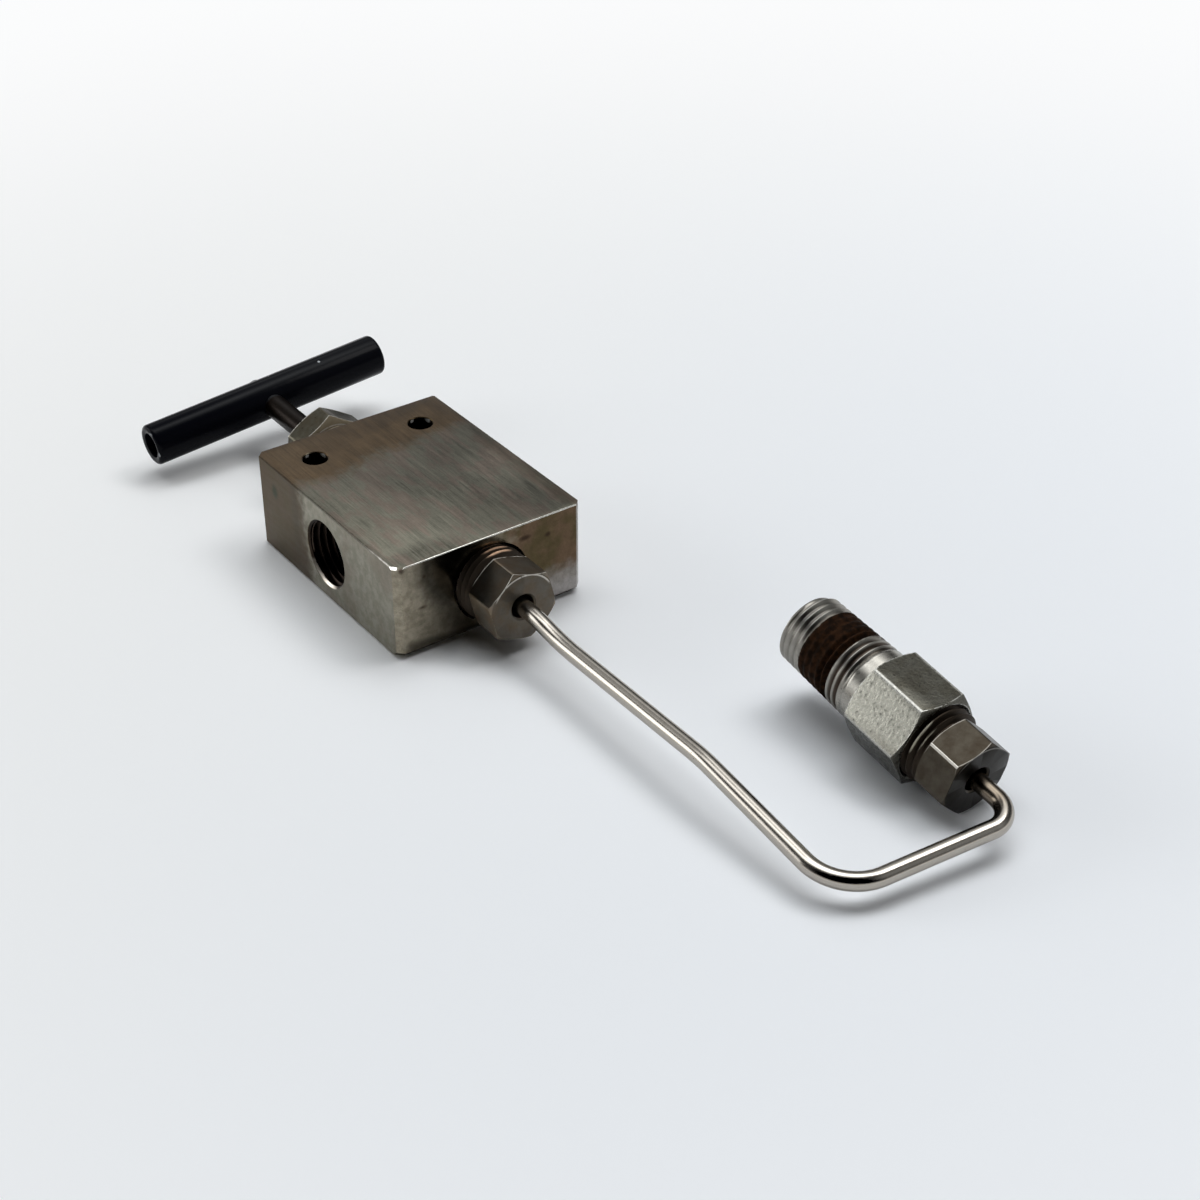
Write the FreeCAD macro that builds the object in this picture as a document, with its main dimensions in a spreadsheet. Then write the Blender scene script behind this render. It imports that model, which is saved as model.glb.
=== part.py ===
import FreeCAD, Part
import Sketcher
import math
import os
import re
from FreeCAD import Placement, Rotation, Vector

# High-pressure angle needle valve in a rectangular block, with a bent link tube to a pipe adapter.
# Millimetres. The origin is midway between the two mounting holes, on the base face.
# +Y runs along the stem to the T-handle, +Z is up, and the side port opens to -X.

TOUCH = 1e-4
MILLING_SWEEP = 1.5
RING_NAMES = ("lower", "middle", "upper")
MOUTH_BREAK = "(port_mouth_diameter - port_thread_diameter) / 2"

SIZES = {
    # valve block
    "body_width": 39.3,
    "body_length": 50.0,
    "body_thickness": 19.05,
    "body_corner_break": 1.2,
    "body_top_break": 0.2,
    "body_light_break": 0.4,
    "body_foot_break": 1.3,
    "mounting_hole_diameter": 4.8,
    "mounting_hole_spacing": 23.0,
    "mounting_hole_setback": 8.1,
    "mounting_hole_break": 0.3,
    # tube ports, gland nuts and coned sleeves, the same at both ends of the tube
    "port_thread_diameter": 14.29,
    "port_mouth_diameter": 15.4,
    "port_cone_mouth": 6.0,
    "port_cone_angle": 60.0,
    "side_port_setback": 25.0,
    "side_port_depth": 11.6,
    "side_passage_diameter": 2.4,
    "nut_across_flats": 12.7,
    "nut_hex_length": 7.1,
    "nut_chamfer_angle": 30.0,
    "nut_face_diameter": 13.0,
    "nut_shank_length": 11.9,
    "nut_bore_diameter": 4.7,
    "nut_tip_break": 0.8,
    "nut_relief_length": 0.7,
    "nut_standoff": 3.0,
    "nut_turn": 43.5,
    "thread_clearance": 0.04,
    "sleeve_diameter": 5.8,
    "sleeve_nose_diameter": 3.8,
    "sleeve_length": 3.1,
    # tube
    "tube_diameter": 3.175,
    "tube_bore": 1.5,
    "tube_fit": 0.03,
    # seat and needle
    "seat_diameter": 1.6,
    "seat_setback": 29.1,
    "seat_gap": 0.03,
    "stem_bore_diameter": 4.8,
    "needle_diameter": 3.97,
    "needle_tip_diameter": 0.9,
    "needle_head_diameter": 5.2,
    "needle_head_height": 1.4,
    "guide_clearance": 0.06,
    # packing
    "packing_diameter": 7.94,
    "packing_fit": 0.03,
    "packing_setback": 18.6,
    "packing_washer_height": 1.2,
    "packing_ring_height": 1.8,
    "packing_adjustment": 0.8,
    "follower_flange_diameter": 11.4,
    "follower_flange_height": 1.6,
    # packing gland
    "gland_thread_diameter": 12.7,
    "gland_mouth_diameter": 13.6,
    "gland_thread_depth": 9.6,
    "gland_across_flats": 14.29,
    "gland_hex_length": 5.9,
    "gland_standoff": 5.9,
    "gland_face_diameter": 13.0,
    "gland_chamfer_angle": 30.0,
    "gland_roof": 4.0,
    "gland_turn": 30.0,
    # stem and handle
    "stem_thread_diameter": 7.938,
    "stem_diameter": 4.76,
    "stem_lift": 0.4,
    "stem_thread_length": 11.5,
    "socket_diameter": 5.6,
    "retainer_height": 2.0,
    "washer_height": 0.6,
    "washer_bore": 1.3,
    "end_float": 0.05,
    "stem_end_stand": 0.55,
    "stem_end_break": 0.5,
    "handle_diameter": 8.4,
    "handle_bore": 5.2,
    "handle_length": 52.5,
    "handle_end_break": 0.6,
    "handle_reach": 33.85,
    "handle_tilt": 5.2,
    "press_clearance": 0.02,
    # adapter
    "adapter_across_flats": 15.875,
    "adapter_hex_length": 13.0,
    "adapter_face_diameter": 15.4,
    "adapter_chamfer_angle": 25.0,
    "adapter_nut_standoff": 2.9,
    "adapter_neck_diameter": 14.2,
    "adapter_neck_length": 3.1,
    "adapter_thread_length": 16.2,
    "adapter_thread_pitch": 1.411,
    "adapter_thread_depth": 0.7,
    "adapter_end_diameter": 13.25,
    "adapter_end_break": 0.5,
    "adapter_bore": 4.8,
    "adapter_bore_depth": 12.0,
    "drill_point_angle": 118.0,
    "adapter_offset": 32.85,
    "adapter_reach": 79.98,
    "adapter_height": 8.51,
    "adapter_tilt": 8.4,
    "adapter_turn": 2.5,
    "adapter_nut_turn": 44.0,
    # bends of the tube
    "dip_bend_radius": 25.0,
    "slow_bend_radius": 35.0,
    "corner_bend_radius": 8.9,
    "return_bend_radius": 4.6,
    "dip_start": 3.9,
    "return_reach": 9.6,
}

# Places that the tube's bends aim for: across, back from the front face, and up, from the base.
TUBE_CORNERS = (
    (0.24, 21.35, 7.90),
    (-0.17, 61.30, 8.45),
    (-0.84, 95.60, 4.30),
)

# Distances worked out from the sizes, each measured along the piece named in its formula.
LAYOUT = {
    "axis_height": "body_thickness / 2",
    "back_face": "mounting_hole_setback",
    "front_face": "mounting_hole_setback - body_length",
    "side_port_station": "back_face - side_port_setback",
    "cone_slope": "tan(port_cone_angle / 2 * 1 deg)",
    "front_port_depth": "nut_shank_length - nut_standoff + sleeve_length",
    "adapter_port_depth": "nut_shank_length - adapter_nut_standoff + sleeve_length",
    "front_cone_end": "front_port_depth + (port_cone_mouth - seat_diameter) / 2 / cone_slope",
    "adapter_cone_end": "adapter_port_depth + (port_cone_mouth - tube_bore) / 2 / cone_slope",
    "seat_cone_end": "seat_setback - (stem_bore_diameter - seat_diameter) / 2 / cone_slope",
    "packing_top": "gland_thread_depth",
    "gland_foot": "packing_top - packing_adjustment - follower_flange_height",
    "stem_foot": "gland_foot - stem_lift",
    "needle_head_foot": "stem_foot - retainer_height - end_float",
    "washer_foot": "needle_head_foot - needle_head_height - end_float",
    "socket_depth": "retainer_height + needle_head_height + washer_height + 2 * end_float",
    "gland_thread_length": "gland_foot + gland_standoff",
    "gland_length": "gland_thread_length + gland_hex_length",
    "seat_apex": "seat_setback + seat_diameter / 2 / cone_slope",
    "needle_apex": "seat_apex - seat_gap / sin(port_cone_angle / 2 * 1 deg)",
    "needle_tip": "needle_apex - needle_tip_diameter / 2 / cone_slope",
    "needle_shoulder": "needle_apex - needle_diameter / 2 / cone_slope",
    "sleeve_gap": "tube_fit / cos(port_cone_angle / 2 * 1 deg)",
    "sleeve_shoulder": "sleeve_length + (port_cone_mouth / 2 - sleeve_gap - sleeve_diameter / 2) / cone_slope",
    "sleeve_nose": "sleeve_length + (port_cone_mouth / 2 - sleeve_gap - sleeve_nose_diameter / 2) / cone_slope",
    "tube_seat": "(port_cone_mouth / 2 - sleeve_gap - tube_diameter / 2) / cone_slope",
    "adapter_neck_end": "adapter_hex_length + adapter_neck_length",
    "adapter_length": "adapter_neck_end + adapter_thread_length",
    "adapter_crests": "adapter_thread_length - adapter_end_break",
    "adapter_taper": "(adapter_neck_diameter - adapter_end_diameter) / 2 / adapter_crests",
    "adapter_station": "front_face - adapter_reach",
    "drill_point": "(adapter_bore - tube_bore) / 2 / tan(drill_point_angle / 2 * 1 deg)",
}

document = FreeCAD.newDocument("valve")


def fill_sheet():
    """Put each driving size in its own named cell."""
    sheet = document.addObject("Spreadsheet::Sheet", "Sizes")
    for row, (name, size) in enumerate(SIZES.items(), start=1):
        sheet.set(f"A{row}", name)
        sheet.set(f"B{row}", str(size))
        sheet.setAlias(f"B{row}", name)
    document.recompute()
    return sheet


sheet = fill_sheet()


def cells(formula):
    """Write a formula's names as cells of the sheet, working through the layout."""
    def cell(match):
        word = match.group()
        if word in SIZES:
            return "Sizes." + word
        if word in LAYOUT:
            return "(" + cells(LAYOUT[word]) + ")"
        return word
    return re.sub(r"[a-z]+(?:_[a-z]+)*", cell, formula)


def number(formula):
    """The value of a formula, in millimetres or degrees."""
    result = sheet.evalExpression(cells(formula))
    return float(getattr(result, "Value", result))


def new_body(name):
    body = document.addObject("PartDesign::Body", name)
    body.Label = name
    return body


def origin_plane(body, role):
    return next(part for part in body.Origin.OriginFeatures if part.Role == role)


def new_sketch(body, name, role="XY_Plane", offset=("0", "0", "0"), turn=0.0):
    """A sketch on one of the body's own planes, moved and turned within it."""
    sketch = body.newObject("Sketcher::SketchObject", name)
    sketch.AttachmentSupport = [(origin_plane(body, role), "")]
    sketch.MapMode = "FlatFace"
    sketch.AttachmentOffset = Placement(Vector(0, 0, 0), Rotation(Vector(0, 0, 1), turn))
    for direction, formula in zip("xyz", offset):
        if formula != "0":
            sketch.setExpression(f"AttachmentOffset.Base.{direction}", cells(formula))
    return sketch


def tie_point(sketch, line, end, across, along):
    """Tie one end of a line to its place, by formulas for its two coordinates."""
    for kind, axis, formula in (("DistanceX", -2, across), ("DistanceY", -1, along)):
        if formula == "0":
            sketch.addConstraint(Sketcher.Constraint("PointOnObject", line, end, axis))
            continue
        tie = sketch.addConstraint(Sketcher.Constraint(kind, -1, 1, line, end, number(formula)))
        label = f"{kind}{line}"
        sketch.renameConstraint(tie, label)
        sketch.setExpression(f"Constraints.{label}", cells(formula))


def draw_outline(sketch, points):
    """A closed outline through points that are each given as two formulas."""
    corners = [Vector(number(across), number(along), 0) for across, along in points]
    count = len(corners)
    for index, corner in enumerate(corners):
        sketch.addGeometry(Part.LineSegment(corner, corners[(index + 1) % count]), False)
    for index in range(count):
        sketch.addConstraint(Sketcher.Constraint("Coincident", index, 2, (index + 1) % count, 1))
    for index, (across, along) in enumerate(points):
        tie_point(sketch, index, 1, across, along)


def draw_circle(sketch, diameter, across="0", along="0"):
    """A circle of a given diameter, with its centre tied to its place."""
    centre = Vector(number(across), number(along), 0)
    index = sketch.addGeometry(Part.Circle(centre, Vector(0, 0, 1), number(diameter) / 2), False)
    for kind, axis, formula in (("DistanceX", -2, across), ("DistanceY", -1, along)):
        if formula == "0":
            sketch.addConstraint(Sketcher.Constraint("PointOnObject", index, 3, axis))
            continue
        tie = sketch.addConstraint(Sketcher.Constraint(kind, -1, 1, index, 3, number(formula)))
        sketch.renameConstraint(tie, f"{kind}{index}")
        sketch.setExpression(f"Constraints.{kind}{index}", cells(formula))
    tie = sketch.addConstraint(Sketcher.Constraint("Diameter", index, number(diameter)))
    sketch.renameConstraint(tie, f"diameter{index}")
    sketch.setExpression(f"Constraints.diameter{index}", cells(diameter))


def draw_hexagon(sketch, across_flats):
    """A regular hexagon round the origin, with one corner on the sketch's X axis."""
    radius = number(across_flats) / math.sqrt(3)
    corners = [Vector(radius * math.cos(turn), radius * math.sin(turn), 0)
               for turn in (math.radians(60 * side) for side in range(6))]
    first = sketch.addGeometry(Part.LineSegment(corners[0], corners[1]), False)
    for side in range(1, 6):
        sketch.addGeometry(Part.LineSegment(corners[side], corners[(side + 1) % 6]), False)
    guide = sketch.addGeometry(Part.Circle(Vector(0, 0, 0), Vector(0, 0, 1), radius), True)
    sketch.addConstraint(Sketcher.Constraint("Coincident", guide, 3, -1, 1))
    for side in range(6):
        line = first + side
        after = first + (side + 1) % 6
        sketch.addConstraint(Sketcher.Constraint("Coincident", line, 2, after, 1))
        sketch.addConstraint(Sketcher.Constraint("PointOnObject", line, 1, guide))
    for side in range(1, 6):
        sketch.addConstraint(Sketcher.Constraint("Equal", first, first + side))
    sketch.addConstraint(Sketcher.Constraint("PointOnObject", first, 1, -1))
    tie = sketch.addConstraint(Sketcher.Constraint("Diameter", guide, 2 * radius))
    sketch.renameConstraint(tie, "corner_circle")
    sketch.setExpression("Constraints.corner_circle", cells(f"{across_flats} * 2 / sqrt(3)"))


def revolve(body, kind, sketch, axis="V_Axis"):
    """A full turn of a profile about one of its sketch's axes."""
    feature = body.newObject(f"PartDesign::{kind}", sketch.Name + "_turn")
    feature.Profile = sketch
    feature.ReferenceAxis = (sketch, [axis])
    feature.Angle = 360.0
    document.recompute()
    return feature


def turned(name, points):
    """A turned piece: its radius and its height along +Y, corner by corner."""
    body = new_body(name)
    sketch = new_sketch(body, name + "_profile")
    draw_outline(sketch, points)
    revolve(body, "Revolution", sketch)
    return body


def turned_ring(name, outside, inside, height):
    """A washer or ring with its foot at the origin."""
    return turned(name, ((inside, "0"), (outside, "0"), (outside, height), (inside, height)))


def mill_hexagon(body, across_flats, start, length):
    """Mill six flats on a turned blank, from start along +Y."""
    sketch = new_sketch(body, body.Name + "_flats", "XZ_Plane", ("0", "0", f"-({start})"))
    draw_hexagon(sketch, across_flats)
    draw_circle(sketch, f"{across_flats} * {MILLING_SWEEP}")
    pocket = body.newObject("PartDesign::Pocket", body.Name + "_milling")
    pocket.Profile = sketch
    pocket.setExpression("Length", cells(length))
    document.recompute()
    return pocket


def place(body, across, along, up, rotation=Rotation()):
    """Put a piece's own origin at a place given by three formulas."""
    body.Placement = Placement(Vector(0, 0, 0), rotation)
    for direction, formula in zip("xyz", (across, along, up)):
        body.setExpression(f"Placement.Base.{direction}", cells(formula))


def about(axis, formula):
    """A rotation about an axis by a formula's value in degrees."""
    return Rotation(Vector(*axis), number(formula))


def place_on_axis(body, depth, rotation=Rotation()):
    """Put a piece on the stem's axis, so far inside the block's back face."""
    place(body, "0", f"back_face - ({depth})", "axis_height", rotation)


def upright_at(shape, across, along):
    """Name of the edge that stands upright at a place."""
    x, y = number(across), number(along)
    return [f"Edge{index}" for index, edge in enumerate(shape.Edges, start=1)
            if all(abs(vertex.X - x) < TOUCH and abs(vertex.Y - y) < TOUCH for vertex in edge.Vertexes)]


def level_edges(shape, height):
    """Names of the edges that lie in one level plane."""
    return [f"Edge{index}" for index, edge in enumerate(shape.Edges, start=1)
            if abs(edge.BoundBox.ZMin - height) < TOUCH and abs(edge.BoundBox.ZMax - height) < TOUCH]


def foot_edges(shape, front):
    """Names of the base edges at the front face and its two corners, or of the other base edges."""
    reach = number("front_face + body_corner_break") + TOUCH
    return [name for name in level_edges(shape, 0)
            if (shape.getElement(name).BoundBox.YMax < reach) == front]


def dress(body, name, edges, size):
    """Break edges of the body's tip with a chamfer."""
    base = body.Tip
    chamfer = body.newObject("PartDesign::Chamfer", name)
    chamfer.Base = (base, edges)
    chamfer.setExpression("Size", cells(size))
    document.recompute()


def port_profile(depth, cone_end, bore, mouth_break, bore_end):
    """Half of a threaded tube port: mouth break, thread bore, sealing cone and passage."""
    return (
        ("0", "0"),
        ("port_mouth_diameter / 2", "0"),
        ("port_thread_diameter / 2", mouth_break),
        ("port_thread_diameter / 2", depth),
        ("port_cone_mouth / 2", depth),
        (f"{bore} / 2", cone_end),
        (f"{bore} / 2", bore_end),
        ("0", bore_end),
    )


def make_valve_body():
    """The block: broken edges, three ports, the seat, the packing bore and two mounting holes."""
    body = new_body("valve_body")
    outline = new_sketch(body, "block_outline", offset=("-body_width / 2", "front_face", "0"))
    draw_outline(outline, (("0", "0"), ("body_width", "0"), ("body_width", "body_length"),
                           ("0", "body_length")))
    block = body.newObject("PartDesign::Pad", "block")
    block.Profile = outline
    block.setExpression("Length", cells("body_thickness"))
    document.recompute()
    for name, side, station, size in (
            ("front_left", "-body_width / 2", "front_face", "body_corner_break"),
            ("front_right", "body_width / 2", "front_face", "body_corner_break"),
            ("back_left", "-body_width / 2", "back_face", "body_corner_break"),
            ("back_right", "body_width / 2", "back_face", "body_light_break")):
        dress(body, f"{name}_corner", upright_at(body.Tip.Shape, side, station), size)
    dress(body, "other_feet", foot_edges(body.Tip.Shape, front=False), "body_light_break")
    dress(body, "front_foot", foot_edges(body.Tip.Shape, front=True), "body_foot_break")
    dress(body, "top_edges", level_edges(body.Tip.Shape, number("body_thickness")), "body_top_break")

    front = new_sketch(body, "front_port", offset=("0", "front_face", "axis_height"))
    draw_outline(front, port_profile("front_port_depth", "front_cone_end", "seat_diameter",
                                     MOUTH_BREAK, "body_length - seat_setback"))
    revolve(body, "Groove", front)

    back = new_sketch(body, "stem_cavity", offset=("0", "back_face", "axis_height"), turn=180.0)
    draw_outline(back, (
        ("0", "0"),
        ("gland_mouth_diameter / 2", "0"),
        ("gland_thread_diameter / 2", "(gland_mouth_diameter - gland_thread_diameter) / 2"),
        ("gland_thread_diameter / 2", "packing_top"),
        ("packing_diameter / 2", "packing_top"),
        ("packing_diameter / 2", "packing_setback"),
        ("stem_bore_diameter / 2", "packing_setback"),
        ("stem_bore_diameter / 2", "seat_cone_end"),
        ("seat_diameter / 2", "seat_setback"),
        ("0", "seat_setback"),
    ))
    revolve(body, "Groove", back)

    side = new_sketch(body, "side_port", offset=("-body_width / 2", "side_port_station", "axis_height"),
                      turn=-90.0)
    draw_outline(side, port_profile("side_port_depth",
                                    "side_port_depth + (port_cone_mouth - side_passage_diameter) / 2"
                                    " / cone_slope", "side_passage_diameter", MOUTH_BREAK,
                                    "body_width / 2"))
    revolve(body, "Groove", side)

    holes = new_sketch(body, "mounting_holes", offset=("-mounting_hole_spacing / 2", "0", "0"))
    draw_circle(holes, "mounting_hole_diameter")
    draw_circle(holes, "mounting_hole_diameter", across="mounting_hole_spacing")
    drilled = body.newObject("PartDesign::Pocket", "drilled_holes")
    drilled.Profile = holes
    drilled.Type = "ThroughAll"
    drilled.Reversed = True
    document.recompute()
    height = number("body_thickness")
    radius = number("mounting_hole_diameter") / 2
    rims = [f"Edge{index}" for index, edge in enumerate(drilled.Shape.Edges, start=1)
            if hasattr(edge.Curve, "Radius") and abs(edge.Curve.Radius - radius) < TOUCH
            and abs(edge.BoundBox.ZMin - height) < TOUCH]
    dress(body, "hole_rims", rims, "mounting_hole_break")


def hex_blank(across_flats, face_diameter, angle, start, length):
    """Outer corners of a hexagon's blank, chamfered at both ends, going along +Y."""
    corner = f"({across_flats} / sqrt(3))"
    run = f"({corner} - {face_diameter} / 2) * tan({angle} * 1 deg)"
    return (
        (f"{face_diameter} / 2", start),
        (corner, f"{start} + {run}"),
        (corner, f"{start} + {length} - {run}"),
        (f"{face_diameter} / 2", f"{start} + {length}"),
    )


def make_gland_nut(name):
    """A tube gland nut: hexagon at the foot, threaded shank above it, and a clear bore."""
    length = "(nut_hex_length + nut_shank_length)"
    shank = "(port_thread_diameter / 2 - thread_clearance)"
    hexagon = hex_blank("nut_across_flats", "nut_face_diameter", "nut_chamfer_angle", "0",
                        "nut_hex_length")
    body = turned(name, (
        ("nut_bore_diameter / 2", "0"),
        *hexagon,
        ("nut_face_diameter / 2", "nut_hex_length + nut_relief_length"),
        (shank, "nut_hex_length + nut_relief_length"),
        (shank, f"{length} - nut_tip_break"),
        (f"{shank} - nut_tip_break", length),
        ("nut_bore_diameter / 2", length),
    ))
    mill_hexagon(body, "nut_across_flats", "0", "nut_hex_length")
    return body


def make_sleeve(name):
    """A coned sleeve round the tube: flat foot for the nut, cone towards the port."""
    bore = "(tube_diameter / 2 + tube_fit)"
    return turned(name, (
        (bore, "0"),
        ("sleeve_diameter / 2", "0"),
        ("sleeve_diameter / 2", "sleeve_shoulder"),
        ("sleeve_nose_diameter / 2", "sleeve_nose"),
        (bore, "sleeve_nose"),
    ))


def make_packing():
    """Washer, three rings and the follower, stacked from the foot of the packing bore."""
    outside = "(packing_diameter / 2 - packing_fit)"
    guide = "(needle_diameter / 2 + guide_clearance)"
    washer = turned_ring("packing_washer", outside, guide, "packing_washer_height")
    place_on_axis(washer, "packing_setback")
    for index, name in enumerate(RING_NAMES):
        ring = turned_ring(f"packing_ring_{name}", outside, guide, "packing_ring_height")
        place_on_axis(ring, f"packing_setback - packing_washer_height - {index} * packing_ring_height")
    spigot = (f"(packing_setback - packing_washer_height - {len(RING_NAMES)} * packing_ring_height"
              " - packing_top + packing_adjustment)")
    follower = turned("packing_follower", (
        (guide, "0"),
        (outside, "0"),
        (outside, spigot),
        ("follower_flange_diameter / 2", spigot),
        ("follower_flange_diameter / 2", f"{spigot} + follower_flange_height"),
        (guide, f"{spigot} + follower_flange_height"),
    ))
    place_on_axis(follower, f"packing_top - packing_adjustment + {spigot}")


def make_packing_gland():
    """The gland: thread in the block, stem thread inside, roof over the stem's shoulder."""
    shank = "(gland_thread_diameter / 2 - thread_clearance)"
    inside = "(stem_thread_diameter / 2 + thread_clearance)"
    hole = "(stem_diameter / 2 + guide_clearance)"
    hexagon = hex_blank("gland_across_flats", "gland_face_diameter", "gland_chamfer_angle",
                        "gland_thread_length", "gland_hex_length")
    body = turned("packing_gland", (
        (inside, "0"),
        (shank, "0"),
        (shank, "gland_thread_length"),
        *hexagon,
        (hole, "gland_length"),
        (hole, "gland_length - gland_roof"),
        (inside, "gland_length - gland_roof"),
    ))
    mill_hexagon(body, "gland_across_flats", "gland_thread_length", "gland_hex_length")
    place_on_axis(body, "gland_foot", about((0, 1, 0), "gland_turn"))


def make_lower_stem():
    """The needle, drawn tip down: cone, shaft through the packing, and head."""
    length = "(needle_tip - needle_head_foot + needle_head_height)"
    body = turned("lower_stem", (
        ("0", "0"),
        ("needle_tip_diameter / 2", "0"),
        ("needle_diameter / 2", "needle_tip - needle_shoulder"),
        ("needle_diameter / 2", "needle_tip - needle_head_foot"),
        ("needle_head_diameter / 2", "needle_tip - needle_head_foot"),
        ("needle_head_diameter / 2", length),
        ("0", length),
    ))
    place_on_axis(body, "needle_tip")


def make_upper_stem():
    """The turning stem: socket at the foot, thread, shank through the handle, broken end."""
    thread = "(stem_thread_diameter / 2)"
    length = "(stem_foot + handle_reach + handle_diameter / 2 + stem_end_stand)"
    body = turned("upper_stem", (
        ("socket_diameter / 2", "0"),
        (thread, "0"),
        (thread, "stem_thread_length"),
        ("stem_diameter / 2", "stem_thread_length"),
        ("stem_diameter / 2", f"{length} - stem_end_break"),
        ("stem_diameter / 2 - stem_end_break", length),
        ("0", length),
        ("0", "socket_depth"),
        ("socket_diameter / 2", "socket_depth"),
    ))
    place_on_axis(body, "stem_foot")

    retainer = turned_ring("stem_retainer", "(socket_diameter / 2 - press_clearance)",
                           "(needle_diameter / 2 + guide_clearance)", "retainer_height")
    place_on_axis(retainer, "stem_foot")
    washer = turned_ring("thrust_washer", "(needle_head_diameter / 2)", "(washer_bore / 2)",
                         "washer_height")
    place_on_axis(washer, "washer_foot")


def make_handle_bar():
    """The T-bar: an open tube with broken ends, cross-drilled for the stem."""
    body = new_body("handle_bar")
    sketch = new_sketch(body, "bar_wall", offset=("-handle_length / 2", "0", "0"))
    outside = "handle_diameter / 2"
    inside = "handle_bore / 2"
    draw_outline(sketch, (
        ("0", inside),
        ("0", f"{outside} - handle_end_break"),
        ("handle_end_break", outside),
        ("handle_length - handle_end_break", outside),
        ("handle_length", f"{outside} - handle_end_break"),
        ("handle_length", inside),
    ))
    revolve(body, "Revolution", sketch, "H_Axis")
    hole = new_sketch(body, "stem_hole", "XZ_Plane")
    draw_circle(hole, "stem_diameter + 2 * press_clearance")
    drilled = body.newObject("PartDesign::Pocket", "cross_drilling")
    drilled.Profile = hole
    drilled.Midplane = True
    drilled.setExpression("Length", cells("handle_diameter * 2"))
    document.recompute()
    place(body, "0", "back_face + handle_reach", "axis_height", about((0, 1, 0), "-handle_tilt"))


def adapter_tilt():
    return about((1, 0, 0), "adapter_tilt")


def pipe_thread():
    """Crests and roots of the taper thread, as plain rings from the neck to the tip."""
    points = []
    for ring in range(int(number("adapter_crests / adapter_thread_pitch"))):
        for turns, depth in ((ring, "0"), (ring + 0.5, "adapter_thread_depth")):
            along = f"({turns} * adapter_thread_pitch)"
            points.append((f"adapter_neck_diameter / 2 - {along} * adapter_taper - {depth}",
                           f"adapter_neck_end + {along}"))
    return points


def make_adapter():
    """The adapter: gland port at the foot, hexagon, neck and male taper pipe thread."""
    hexagon = hex_blank("adapter_across_flats", "adapter_face_diameter", "adapter_chamfer_angle", "0",
                        "adapter_hex_length")
    body = turned("adapter_body", (
        ("port_thread_diameter / 2", "0"),
        *hexagon,
        ("adapter_neck_diameter / 2", "adapter_hex_length"),
        *pipe_thread(),
        ("adapter_end_diameter / 2", "adapter_length - adapter_end_break"),
        ("adapter_end_diameter / 2 - adapter_end_break", "adapter_length"),
        ("adapter_bore / 2", "adapter_length"),
        ("adapter_bore / 2", "adapter_length - adapter_bore_depth"),
        ("tube_bore / 2", "adapter_length - adapter_bore_depth - drill_point"),
        ("tube_bore / 2", "adapter_cone_end"),
        ("port_cone_mouth / 2", "adapter_port_depth"),
        ("port_thread_diameter / 2", "adapter_port_depth"),
    ))
    mill_hexagon(body, "adapter_across_flats", "0", "adapter_hex_length")
    rotation = adapter_tilt().multiply(about((0, 1, 0), "adapter_turn"))
    place(body, "adapter_offset", "adapter_station", "adapter_height", rotation)


def adapter_face():
    """Centre of the adapter's face towards the gland nut."""
    return Vector(number("adapter_offset"), number("adapter_station"), number("adapter_height"))


def make_tube_ends():
    """A gland nut and a sleeve at each end of the tube."""
    nut = make_gland_nut("inlet_gland_nut")
    place(nut, "0", "front_face - nut_standoff - nut_hex_length", "axis_height",
          about((0, 1, 0), "-nut_turn"))
    sleeve = make_sleeve("inlet_sleeve")
    place(sleeve, "0", "front_face + front_port_depth - sleeve_length", "axis_height")

    tilt = adapter_tilt()
    along = tilt.multVec(Vector(0, 1, 0))
    face = adapter_face()
    nut = make_gland_nut("adapter_gland_nut")
    turn = tilt.multiply(about((0, 1, 0), "adapter_nut_turn"))
    nut.Placement = Placement(face - along * number("adapter_nut_standoff + nut_hex_length"), turn)
    sleeve = make_sleeve("adapter_sleeve")
    sleeve.Placement = Placement(face + along * number("adapter_port_depth - sleeve_length"), tilt)


def bent_path(points, radii):
    """Straight runs joined by tangent arcs, as one wire."""
    edges = []
    start = points[0]
    for before, corner, after, radius in zip(points, points[1:], points[2:], radii):
        inward = (corner - before).normalize()
        outward = (after - corner).normalize()
        turn = inward.getAngle(outward)
        setback = radius * math.tan(turn / 2)
        bend_start = corner - inward * setback
        bend_end = corner + outward * setback
        middle = corner + (outward - inward).normalize() * (radius / math.cos(turn / 2) - radius)
        edges.append(Part.LineSegment(start, bend_start).toShape())
        edges.append(Part.Arc(bend_start, middle, bend_end).toShape())
        start = bend_end
    edges.append(Part.LineSegment(start, points[-1]).toShape())
    return Part.Wire(edges)


def swept_rod(path, diameter):
    """A round rod along a path."""
    start = path.Edges[0]
    direction = start.tangentAt(start.FirstParameter)
    circle = Part.Circle(start.valueAt(start.FirstParameter), direction, diameter / 2)
    return path.makePipeShell([Part.Wire(circle.toShape())], True, False)


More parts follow.
